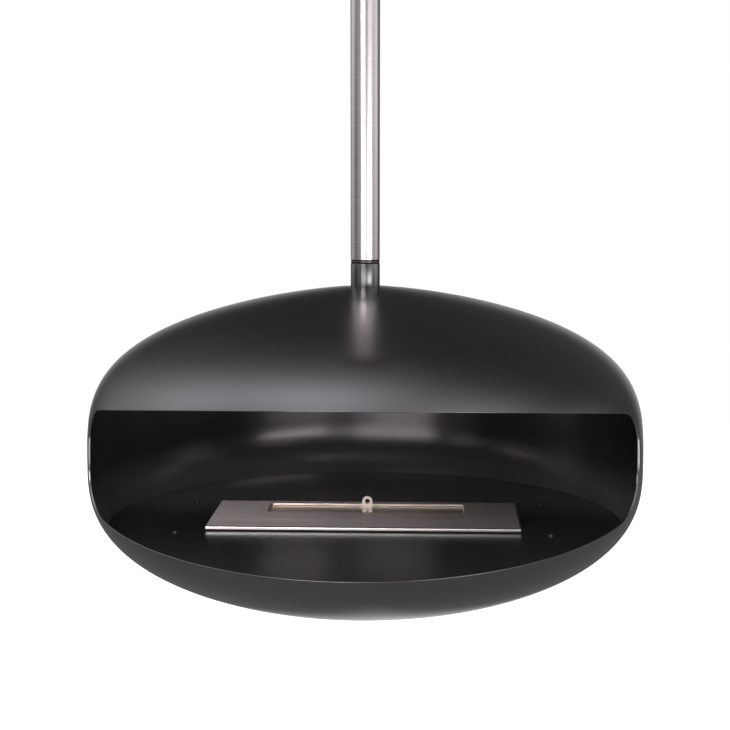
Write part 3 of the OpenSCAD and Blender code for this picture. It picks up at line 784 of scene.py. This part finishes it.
def mouthLines(cut):
    # the outline in side view, with room for the rounded edge: its lines and its two corner arcs
    grow = cut["edgeRound"]
    topAngle, bottomAngle = radians(cut["topAngle"]), radians(cut["bottomAngle"])
    topY, bottomY = -cut["side"] - cut["topCorner"], -cut["side"] - cut["bottomCorner"]
    topZ = cut["top"] - topY * tan(topAngle) - cut["topCorner"] / cos(topAngle)
    bottomZ = -cut["bottom"] + bottomY * tan(bottomAngle) + cut["bottomCorner"] / cos(bottomAngle)
    arcs = (((topY, topZ), cut["topCorner"] + grow, 0, pi / 2 - topAngle),
            ((bottomY, bottomZ), cut["bottomCorner"] + grow, bottomAngle - pi / 2, 0))

    def depth(y, z):
        # metres inside the mouth, negative in the steel
        for (cy, cz), radius, fromAngle, toAngle in arcs:
            if fromAngle <= atan2(z - cz, y - cy) <= toAngle and y > cy:
                return radius - hypot(y - cy, z - cz)
        above = (cut["top"] - y * tan(topAngle) - z) * cos(topAngle) + grow
        below = (z + cut["bottom"] - y * tan(bottomAngle)) * cos(bottomAngle) + grow
        return min(above, below, -cut["side"] - y + grow)
    return depth


def slopeOf(depth, y, z):
    tiny = 1e-5
    slope = Vector((0, depth(y + tiny, z) - depth(y - tiny, z), depth(y, z + tiny) - depth(y, z - tiny)))
    return slope / (2 * tiny)


def pebbleNormal(sizes, point):
    # outward normal of the side curve turned about the axis
    r, h = hypot(point.x, point.y), point.z - sizes["Widest at"]
    if r < sizes["Pad radius"] - 1e-5 and h > 0:
        return Vector((0, 0, 1))
    if r < onAxis:
        return Vector((0, 0, -1))
    name = "Dome" if h >= 0 else "Bowl"
    bulge, square, height = (sizes[name + key] for key in (" bulge", " square", " height"))
    outward = bulge / sizes["Radius"] * (r / sizes["Radius"]) ** (bulge - 1)
    upward = square / height * (abs(h) / height) ** (square - 1) * (1 if h >= 0 else -1)
    return Vector((outward * point.x / r, outward * point.y / r, upward)).normalized()


def cutMouth(mesh, sizes, cut):
    depth = mouthLines(cut)
    level = sizes["Widest at"]

    def inMouth(point):
        return depth(point.y, point.z - level)

    work = bmesh.new()
    work.from_mesh(mesh)
    bmesh.ops.recalc_face_normals(work, faces=work.faces)
    edge = set()
    side = {}
    for vert in work.verts:
        inside = inMouth(vert.co)
        if abs(inside) < cut["snap"]:
            normal = pebbleNormal(sizes, vert.co)
            slope = slopeOf(depth, vert.co.y, vert.co.z - level)
            along = slope - normal * slope.dot(normal)
            if abs(inside) < cut["snap"] * along.length:
                for _ in range(cut["passes"]):
                    vert.co -= along * (inMouth(vert.co) / slope.dot(along))
                edge.add(vert)
                inside = 0.0
        side[vert] = inside
    for crossing in [e for e in work.edges if side[e.verts[0]] * side[e.verts[1]] < 0]:
        one, two = crossing.verts
        low, high, start, end = 0.0, 1.0, one.co.copy(), two.co.copy()
        for _ in range(cut["halvings"]):
            middle = (low + high) / 2
            if inMouth(start.lerp(end, middle)) * side[one] > 0:
                low = middle
            else:
                high = middle
        _, fresh = bmesh.utils.edge_split(crossing, one, low)
        fresh.co = start.lerp(end, low)
        side[fresh] = 0.0
        edge.add(fresh)
    for face in list(work.faces):
        values = [side[v] for v in face.verts]
        if min(values) < 0 < max(values):
            rim = [v for v in face.verts if v in edge]
            for one in rim:
                for two in rim:
                    if one != two and face.is_valid and not set(one.link_edges) & set(two.link_edges):
                        if one in face.verts and two in face.verts:
                            bmesh.utils.face_split(face, one, two)
    doomed = [f for f in work.faces if sum(side[v] for v in f.verts) > 0]
    bmesh.ops.delete(work, geom=doomed, context="FACES")
    bmesh.ops.delete(work, geom=[v for v in work.verts if not v.link_faces], context="VERTS")
    return work


def liningPoint(point, normal, depth, level, cut):
    # the inner sheet's point under an outer one; near the mouth it slides to end on the same outline
    inner = point - normal * cut["wall"]
    here = depth(point.y, point.z - level)
    share = max(0.0, 1.0 + here / cut["liningReach"])
    if share <= 0:
        return inner
    share = share * share * (3 - 2 * share)
    for _ in range(cut["passes"]):
        slope = slopeOf(depth, inner.y, inner.z - level)
        along = slope - normal * slope.dot(normal)
        if along.length < 0.2:       # the sheet lies nearly square to the cut
            break
        inner = inner - along * ((depth(inner.y, inner.z - level) - here) / slope.dot(along)) * share
    return inner


def wallShell(work, sizes, cut):
    # gives the cut sheet its inner wall, its rounded mouth edge and exact smooth normals
    depth = mouthLines(cut)
    level = sizes["Widest at"]
    work.verts.index_update()
    outer = [v.co.copy() for v in work.verts]
    count = len(outer)
    normals = [pebbleNormal(sizes, p) for p in outer]
    inner = [liningPoint(p, n, depth, level, cut) for p, n in zip(outer, normals)]
    points = outer + inner
    shading = normals + [-n for n in normals]
    flip = sum(f.normal.dot(normals[f.verts[0].index]) for f in work.faces) < 0
    steps, square = cut["edgeSteps"], cut["edgeSquare"]
    rings = {}

    def loopOf(face):
        loop = [v.index for v in face.verts]
        return loop[::-1] if flip else loop

    def edgeRing(i):
        if i not in rings:
            rings[i] = [i]
            slope = slopeOf(depth, outer[i].y, outer[i].z - level).normalized()
            for k in range(1, steps):
                share = (1 - cos(pi * k / steps)) / 2
                bulge = (1 - abs(2 * share - 1) ** square) ** (1 / square)
                points.append(outer[i].lerp(inner[i], share) + slope * cut["edgeRound"] * bulge)
                shading.append(Vector((0, 0, 0)))
                rings[i].append(len(points) - 1)
            rings[i].append(i + count)
        return rings[i]

    faces = []       # each with the number of its finish: outside, inside, edge
    for face in work.faces:
        loop = loopOf(face)
        faces += [(loop, 0), ([i + count for i in reversed(loop)], 1)]
    for border in work.edges:
        if len(border.link_faces) != 1:
            continue
        loop = loopOf(border.link_faces[0])
        one, two = (v.index for v in border.verts)
        if loop[(loop.index(one) + 1) % len(loop)] != two:
            one, two = two, one
        if hypot(outer[one].x, outer[one].y) < sizes["Pad radius"]:
            faces.append(([two, one, one + count, two + count], 0))
            continue
        first, second = edgeRing(one), edgeRing(two)
        faces += [([second[k], first[k], first[k + 1], second[k + 1]], 2) for k in range(steps)]
    work.free()
    mesh = bpy.data.meshes.new("pebbleShell")
    mesh.from_pydata(points, [], [loop for loop, _ in faces])
    for material in (coatOutside, coatInside, coatEdge):
        mesh.materials.append(material)
    mesh.polygons.foreach_set("material_index", [finish for _, finish in faces])
    smooth(mesh)
    mesh.normals_split_custom_set_from_vertices(shading)
    return mesh


def makeShell():
    sheet = growMesh("pebbleSheet", pebbleTree(shellSizes), {**shellSizes, "Material": coatOutside})
    print("pebble grown,", len(sheet.polygons), "faces")
    mesh = wallShell(cutMouth(sheet, shellSizes, mouth), shellSizes, mouth)
    bpy.data.meshes.remove(sheet)
    handOver(mesh, "dome", "bowl")
    print("shell walled,", len(mesh.polygons), "faces")


makeShell()


# pole, collar and the ring between them

poleSizes = {"wall": 0.002, "edge": 0.0003, "segments": 128}
collarSizes = {"bore": 0.01205, "edge": 0.0005, "ringBore": 0.00805, "ringEdge": 0.0003,
               "ringBand": 0.00135, "ringRecess": 0.0007,
               "shadeFrom": 0.0001}     # the painted shade on the shadow gap starts this far below the band's top


def tubeRings(inner, outer, low, high, edge):
    return filletLoop([(inner, low, edge), (outer, low, edge), (outer, high, edge), (inner, high, edge)])


def makePole():
    segments = poleSizes["segments"]
    low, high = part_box("pole")
    handOver(lathe("pole", tubeRings(high.x - poleSizes["wall"], high.x, low.z, high.z, poleSizes["edge"]),
                   poleSteel, segments), "pole")
    # the ring is a narrow band under a shadow gap, which gets painted shade
    low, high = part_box("collar_ring")
    bore, edge = collarSizes["ringBore"], collarSizes["ringEdge"]
    step, waist = low.z + collarSizes["ringBand"], high.x - collarSizes["ringRecess"]
    ring = lathe("collarRing", filletLoop([
        (bore, low.z, edge), (high.x, low.z, edge), (high.x, step, edge),
        (waist, step, 0), (waist, high.z, 0), (bore, high.z, edge)]), coatCollar, segments)
    paintFaces(ring, coatRecess, lambda polygon: polygon.center.z > step - collarSizes["shadeFrom"])
    handOver(ring, "collar_ring")
    low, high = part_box("collar")
    handOver(lathe("collar", tubeRings(collarSizes["bore"], high.x, low.z, high.z, collarSizes["edge"]),
                   coatCollar, segments), "collar")
    print("pole and collar made")


makePole()


# copies of a small part, on a circle or on a grid

def partTree(name, inputs, layOut):
    tree, given = newTree(name, {"Part": "NodeSocketObject", **inputs, "Height": 0.0,
                                 "Material": "NodeSocketMaterial"})
    part = take(tree, "GeometryNodeObjectInfo", {"Object": given["Part"]}, "Geometry")
    points, turn = layOut(tree, given)
    copies = take(tree, "GeometryNodeInstanceOnPoints", {
        "Points": points, "Instance": part, "Rotation": turn})
    endTree(tree, moved(tree, copies, joinAxes(tree, z=given["Height"])), given["Material"])
    return tree


def circleLayout(tree, given):
    circle = take(tree, "GeometryNodeMeshCircle", {"Vertices": given["Count"], "Radius": given["Radius"]})
    start = joinAxes(tree, z=given["Start angle"])
    points = take(tree, "GeometryNodeTransform", {"Geometry": circle, "Rotation": start})
    index = take(tree, "GeometryNodeInputIndex")
    share = calc(tree, "DIVIDE", times(tree, index, 2 * pi), given["Count"])
    return points, joinAxes(tree, z=plus(tree, share, given["Start angle"]))


def gridLayout(tree, given):
    grid = take(tree, "GeometryNodeMeshGrid", {
        "Size X": given["Width"], "Size Y": given["Depth"],
        "Vertices X": given["Columns"], "Vertices Y": given["Rows"]})
    return moved(tree, grid, joinAxes(tree, y=given["Centre Y"])), (0, 0, 0)


circleTree = partTree("copiesOnCircle", {"Count": 3, "Radius": 0.01, "Start angle": 0.0}, circleLayout)
gridTree = partTree("copiesOnGrid", {"Columns": 2, "Rows": 2, "Width": 0.1, "Depth": 0.1, "Centre Y": 0.0},
                    gridLayout)


def copyPart(name, part, tree, material, height, values):
    model = showObject(name + "Part", part)
    mesh = growMesh(name, tree, {"Part": model, "Material": material, "Height": height, **values})
    bpy.data.objects.remove(model)
    shadeByAngle(mesh)
    return mesh


screwDetails = {"tip": 0.0004, "socketRim": 0.0002, "socketFoot": 0.0003, "headSteps": 4}


def socketScrew(name, screw, length, material):
    # head is (radius, height) and stands on z = 0; socket is (half across flats, depth)
    headRadius, headHeight = screw["head"]
    shank, rounding = screw["shank"], screw["rounding"]
    top = headRadius - screw.get("taper", 0.0)
    flat, deep = screw["socket"]
    tip, steps = screwDetails["tip"], screwDetails["headSteps"]
    rim = flat / cos(pi / 6) + screwDetails["socketRim"]
    rings = [(0, -length), (shank - tip, -length), (shank, -length + tip), (shank, 0),
             (headRadius - rounding * 0.4, 0), (headRadius, rounding * 0.4)]
    for k in range(steps + 1):
        turn = pi / 2 * k / steps
        rings.append((top - rounding + rounding * cos(turn), headHeight - rounding + rounding * sin(turn)))
    rings += [(rim, headHeight), (flat, headHeight - screwDetails["socketRim"], 6, rim),
              (flat, headHeight - deep, 6, rim), (0, headHeight - deep - screwDetails["socketFoot"])]
    return lathe(name, rings, material, 48, False)


def hexNut(name, halfFlats, bore, height, chamfer=0.0004):
    corner = halfFlats / cos(pi / 6)
    eased = corner - chamfer * 0.3
    rings = [(bore + chamfer, 0), (halfFlats, 0), (halfFlats, chamfer * 0.6, 6, eased),
             (halfFlats, chamfer * 1.5, 6, corner), (halfFlats, height - chamfer * 1.5, 6, corner),
             (halfFlats, height - chamfer * 0.6, 6, eased), (halfFlats, height),
             (bore + chamfer, height), (bore, height - chamfer), (bore, chamfer)]
    return lathe(name, rings, zincSteel, 72)


# swivel: the collar's screws, ball ring, spindle nut and heat shield

swivelSizes = {
    "collarScrew": {"head": (0.0034, 0.0042), "shank": 0.002, "socket": (0.0013, 0.0024),
                    "rounding": 0.0003},
    "collarCircle": {"Radius": 0.016, "Start angle": radians(90), "Count": 3},
    "shieldScrew": {"head": (0.0038, 0.0024), "shank": 0.002, "socket": (0.00125, 0.0014),
                    "rounding": 0.0009},
    "shieldCircle": {"Radius": 0.036, "Start angle": radians(30), "Count": 3},
    "ballRadius": 0.00235,
    "ballCircle": {"Radius": 0.0119, "Start angle": 0.0, "Count": 12},
    "cage": (0.0088, 0.0146, 0.0016),        # inner and outer radius, thickness
    "nutFlats": 0.012, "nutBore": 0.00805, "nutChamfer": 0.0010,
    "shieldFlat": 0.070, "shieldSheet": 0.0015, "shieldDish": 0.006,
    "shieldBends": (0.012, 0.010), "shieldBead": 0.0006,
    "spacer": (0.0022, 0.005),
    "edge": 0.0003,
}


def hungScrews(name, node, screw, circle, material):
    # screws driven in from below: the head is at the foot of the CAD node's box
    low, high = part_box(node)
    headHeight = screw["head"][1]
    part = socketScrew(name + "Part", screw, high.z - low.z - headHeight, material)
    part.transform(Matrix.Rotation(pi, 4, "X"))
    handOver(copyPart(name, part, circleTree, material, low.z + headHeight, circle), node)


def makeBallRing(sizes):
    low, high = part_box("ball_ring")
    middle = (low.z + high.z) / 2
    work = bmesh.new()
    bmesh.ops.create_icosphere(work, subdivisions=3, radius=sizes["ballRadius"])
    inner, outer, thick = sizes["cage"]
    section = tubeRings(inner, outer, -thick / 2, thick / 2, sizes["edge"])
    cage = lathe("cage", section, bushBronze, lift=middle)
    balls = copyPart("ballRing", meshOf("ball", work), circleTree, bearingSteel, middle, sizes["ballCircle"])
    work = bmesh.new()
    work.from_mesh(balls)
    ballFaces = len(work.faces)
    work.from_mesh(cage)
    work.to_mesh(balls)
    work.free()
    paintFaces(balls, bushBronze, lambda polygon: polygon.index >= ballFaces)
    handOver(balls, "ball_ring")


def makeSwivel(sizes):
    hungScrews("collarScrews", "collar_screws", sizes["collarScrew"], sizes["collarCircle"], zincSteel)
    makeBallRing(sizes)
    low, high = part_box("spindle_nut")
    nut = hexNut("spindleNut", sizes["nutFlats"], sizes["nutBore"], high.z - low.z, sizes["nutChamfer"])
    nut.transform(Matrix.Translation((0, 0, low.z)))
    handOver(nut, "spindle_nut")

    low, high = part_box("heat_shield")
    flat, sheet, bead = (sizes[key] for key in ("shieldFlat", "shieldSheet", "shieldBead"))
    lowBend, highBend = sizes["shieldBends"]
    rimFoot, nearAxis = low.z + sizes["shieldDish"], 0.0001
    rim = filletLoop([(flat, low.z, lowBend), (high.x, rimFoot, bead), (high.x, rimFoot + sheet, bead),
                      (flat, low.z + sheet, highBend), (nearAxis, low.z + sheet, 0), (nearAxis, low.z, 0)], 6)
    rim = [(0 if radius < 5 * nearAxis else radius, z) for radius, z in rim]
    handOver(lathe("heatShield", rim, sheetSteel, 160), "heat_shield")

    low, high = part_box("shield_spacers")
    section = tubeRings(*sizes["spacer"], 0, high.z - low.z, sizes["edge"])
    spacer = lathe("shieldSpacer", section, zincSteel, 32)
    handOver(copyPart("shieldSpacers", spacer, circleTree, zincSteel, low.z, sizes["shieldCircle"]),
             "shield_spacers")
    hungScrews("shieldScrews", "shield_screws", sizes["shieldScrew"], sizes["shieldCircle"], sheetSteel)
    print("swivel made")


makeSwivel(swivelSizes)


# canopy: spun cup at the ceiling

canopySizes = {"wall": 0.0015, "bore": 0.0205, "corner": 0.006, "lip": 0.0005}


def makeCanopy(sizes):
    low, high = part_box("canopy")
    wall, bore, corner, lip = (sizes[key] for key in ("wall", "bore", "corner", "lip"))
    outer = high.x
    cup = filletLoop([
        (bore, low.z, lip), (outer, low.z, corner), (outer, high.z, lip), (outer - wall, high.z, lip),
        (outer - wall, low.z + wall, corner - wall), (bore, low.z + wall, lip)], 8)
    handOver(lathe("canopy", cup, coatOutside, 160), "canopy")
    print("canopy made")


makeCanopy(canopySizes)


# floor: panel screws, and the trays' studs and nuts

floorSizes = {
    "screw": {"head": (0.0048, 0.0024), "shank": 0.0025, "socket": (0.00147, 0.0016), "rounding": 0.0007,
              "taper": 0.0010},
    "screwLength": 0.016,
    "screwGrid": {"Columns": 2, "Rows": 2, "Width": 0.500, "Depth": 0.200, "Centre Y": 0.0},
    "studRadius": 0.002, "studTip": 0.0004, "nutFlats": 0.0035, "nutBore": 0.00205,
}


def makeFloorScrews(sizes):
    screw = socketScrew("floorScrew", sizes["screw"], sizes["screwLength"], screwSteel)
    handOver(copyPart("floorScrews", screw, gridTree, screwSteel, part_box("floor_panel")[1].z,
                      sizes["screwGrid"]), "floor_screws")
    low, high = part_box("tray_studs")
    radius, tip, length = sizes["studRadius"], sizes["studTip"], high.z - low.z
    spread = {"Columns": 2, "Rows": 2, "Width": high.x - low.x - 2 * radius,
              "Depth": high.y - low.y - 2 * radius, "Centre Y": (low.y + high.y) / 2}
    stud = lathe("trayStud", [(0, 0), (radius - tip, 0), (radius, tip), (radius, length), (0, length)],
                 zincSteel, 32, False)
    handOver(copyPart("trayStuds", stud, gridTree, zincSteel, low.z, spread), "tray_studs")
    low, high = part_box("tray_nuts")
    nut = hexNut("trayNut", sizes["nutFlats"], sizes["nutBore"], high.z - low.z)
    handOver(copyPart("trayNuts", nut, gridTree, zincSteel, low.z, spread), "tray_nuts")
    print("floor screws, studs and nuts made")


makeFloorScrews(floorSizes)


# burner: folded plate, pad and its grille

plateSizes = {
    "sheet": 0.0015, "bend": 0.0024, "slotBend": 0.0017, "bendSteps": 5,
    "corner": 0.0016, "leastCorner": 0.0002, "cornerSteps": 6,
    "slotEdge": 0.0037, "slotCorner": 0.0014, "edgeRound": 0.0003,
    "faceUp": 0.97,          # faces whose normal rises less than this get the lighter fold steel, partly a painted highlight
}


def roundedLoop(x0, x1, y0, y1, radius, z, steps):
    loop = []
    for cx, cy, turn in ((x1 - radius, y1 - radius, 0), (x0 + radius, y1 - radius, 1),
                         (x0 + radius, y0 + radius, 2), (x1 - radius, y0 + radius, 3)):
        for k in range(steps + 1):
            angle = (turn + k / steps) * pi / 2
            loop.append((cx + radius * cos(angle), cy + radius * sin(angle), z))
    return loop


def makePlate(sizes):
    low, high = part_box("burner_plate")
    sheet, bend, lip, edge = (sizes[key] for key in ("sheet", "bend", "slotBend", "edgeRound"))
    top, foot, steps = high.z, low.z, sizes["cornerSteps"]

    def outline(inset, z):
        return roundedLoop(low.x + inset, high.x - inset, low.y + inset, high.y - inset,
                           max(sizes["corner"] - inset, sizes["leastCorner"]), z, steps)

    def slot(grow, z):
        half = slotSizes["width"] / 2 + grow
        return roundedLoop(-half, half, slotSizes["front"] - grow, slotSizes["rear"] + grow,
                           sizes["slotCorner"] + grow, z, steps)

    arc = [pi / 2 * k / sizes["bendSteps"] for k in range(sizes["bendSteps"] + 1)]
    slotFoot = top - sizes["slotEdge"]
    loops = [outline(sheet, foot), outline(edge, foot), outline(0, foot + edge)]
    loops += [outline(bend * (1 - cos(a)), top - bend * (1 - sin(a))) for a in arc]
    loops += [slot(lip * (1 - cos(a)), top - lip * (1 - sin(a))) for a in reversed(arc)]
    loops += [slot(0, slotFoot + edge), slot(edge, slotFoot), slot(sheet, slotFoot),
              slot(sheet, top - sheet), outline(sheet, top - sheet)]
    count = len(loops[0])
    faces = []
    for i in range(len(loops)):
        j = (i + 1) % len(loops)
        for k in range(count):
            m = (k + 1) % count
            faces.append((i * count + k, i * count + m, j * count + m, j * count + k))
    mesh = meshFrom("burnerPlate", [point for loop in loops for point in loop], faces, plateSteel, 60)
    paintFaces(mesh, foldSteel, lambda polygon: polygon.normal.z <= sizes["faceUp"])
    grainMap(mesh)
    handOver(flattened(mesh), "burner_plate")


grilleSizes = {"Across": 13, "Deep": 5, "Bar": 0.003}


def grilleTree(sizes):
    tree, given = newTree("windowGrille", {
        **sizes, "Width": 0.1, "Depth": 0.1, "Thick": 0.001, "Centre Y": 0.0, "Height": 0.0,
        "Material": "NodeSocketMaterial"})
    grid = take(tree, "GeometryNodeMeshGrid", {
        "Size X": given["Width"], "Size Y": given["Depth"],
        "Vertices X": plus(tree, given["Across"], 1.0), "Vertices Y": plus(tree, given["Deep"], 1.0)})
    inset = addNode(tree, "GeometryNodeExtrudeMesh", {
        "Mesh": grid, "Offset Scale": 0.0, "Individual": True}, mode="FACES").outputs
    cell = calc(tree, "DIVIDE", given["Width"], given["Across"])
    share = calc(tree, "DIVIDE", minus(tree, cell, given["Bar"]), cell)
    holes = take(tree, "GeometryNodeScaleElements", {
        "Geometry": inset["Mesh"], "Selection": inset["Top"], "Scale": share})
    bars = take(tree, "GeometryNodeDeleteGeometry", {"Geometry": holes, "Selection": inset["Top"]},
                domain="FACE")
    under = take(tree, "GeometryNodeFlipFaces", {"Mesh": bars})
    raised = take(tree, "GeometryNodeExtrudeMesh", {
        "Mesh": bars, "Individual": False, "Offset Scale": given["Thick"]}, "Mesh", mode="FACES")
    spot = joinAxes(tree, y=given["Centre Y"], z=given["Height"])
    endTree(tree, moved(tree, welded(tree, 1e-6, raised, under), spot), given["Material"])
    return tree


def makeGrille(sizes):
    low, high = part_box("pad_grille")
    mesh = growMesh("padGrille", grilleTree(sizes), {
        **sizes, "Width": high.x - low.x, "Depth": high.y - low.y, "Thick": high.z - low.z,
        "Centre Y": (low.y + high.y) / 2, "Height": low.z, "Material": sheetSteel})
    shadeByAngle(mesh)
    handOver(mesh, "pad_grille")


padSizes = {"cell": 0.004, "corner": 0.004, "ruffle": 0.0005, "ruffleScale": 130}


def makePad(sizes):
    # a block of wool with soft corners and a slightly uneven skin
    low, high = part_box("absorbent_pad")
    middle, half = (low + high) / 2, (high - low) / 2
    work = bmesh.new()
    bmesh.ops.create_cube(work, size=2)
    for axis in range(3):
        edges = [e for e in work.edges if abs(e.verts[0].co[axis] - e.verts[1].co[axis]) > 1]
        bmesh.ops.subdivide_edges(work, edges=edges, cuts=int(2 * half[axis] / sizes["cell"]),
                                  use_grid_fill=True)
    corner, ruffle = sizes["corner"], sizes["ruffle"]
    for vert in work.verts:
        spot = Vector([vert.co[a] * half[a] for a in range(3)])
        core = Vector([max(-(half[a] - corner), min(half[a] - corner, spot[a])) for a in range(3)])
        out = spot - core
        if out.length > 0:
            spot = core + out.normalized() * corner
        uneven = noise.noise(spot * sizes["ruffleScale"]) * 0.5 - 0.5
        skin = out.normalized() if out.length > 0 else Vector()
        vert.co = middle + spot + skin * ruffle * uneven
    mesh = meshOf("absorbentPad", work)
    mesh.materials.append(padWool)
    smooth(mesh)
    handOver(mesh, "absorbent_pad")


makePlate(plateSizes)
makeGrille(grilleSizes)
makePad(padSizes)
print("burner plate, grille and pad made")


# CAD parts whose shape is right: copies with softened edges, each with its material and edge rounding

softenedParts = {
    "ceiling_plate": ("ceilingPlate", zincSteel, 0.0005),
    "pole_bolts": ("poleBolts", zincSteel, 0.0003),
    "pole_bolt_nuts": ("poleBoltNuts", zincSteel, 0.0003),
    "canopy_ring": ("canopyRing", coatCollar, 0.0006),
    "canopy_ring_screw": ("canopyRingScrew", zincSteel, 0.0002),
    "pole_plug": ("polePlug", zincSteel, 0.0004),
    "spindle": ("spindle", zincSteel, 0.0003),
    "guide_bush": ("guideBush", bushBronze, 0.0003),
    "hanger_plate": ("hangerPlate", zincSteel, 0.0004),
    "upper_race": ("upperRace", bearingSteel, 0.0003),
    "lower_race": ("lowerRace", bearingSteel, 0.0003),
    "spindle_washer": ("spindleWasher", zincSteel, 0.0003),
    "lock_pin": ("lockPin", bearingSteel, 0.0003),
    "floor_panel": ("floorPanel", coatFloor, 0.0004),
    "floor_posts": ("floorPosts", zincSteel, 0.0),
    "floor_gasket": ("floorGasket", gasketWeave, 0.0004),
    "safety_tray": ("safetyTray", zincSteel, 0.0004),
    "burner_tray": ("burnerTray", sheetSteel, 0.0005),
    "shutter_rails": ("shutterRails", sheetSteel, 0.0003),
    "shutter_plate": ("shutterPlate", shutterSteel, 0.0004),
    "pull_tab": ("pullTab", tabSteel, 0.0003),
}
weldedFeet = {"pull_tab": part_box("pull_tab")[0].z}
shoulderShadeFrom = 0.012         # beyond this radius the spindle gets painted shade, where it shows under the ring

for node, (piece, material, rounding) in softenedParts.items():
    mesh = softened(piece, node, material, rounding, weldedFeet.get(node))
    # painted shade on the spindle's shoulder, where it shows under the ring
    if node == "spindle":
        paintFaces(mesh, coatRecess, lambda polygon: hypot(polygon.center.x, polygon.center.y) > shoulderShadeFrom)
    handOver(mesh, node)
print("softened parts made")
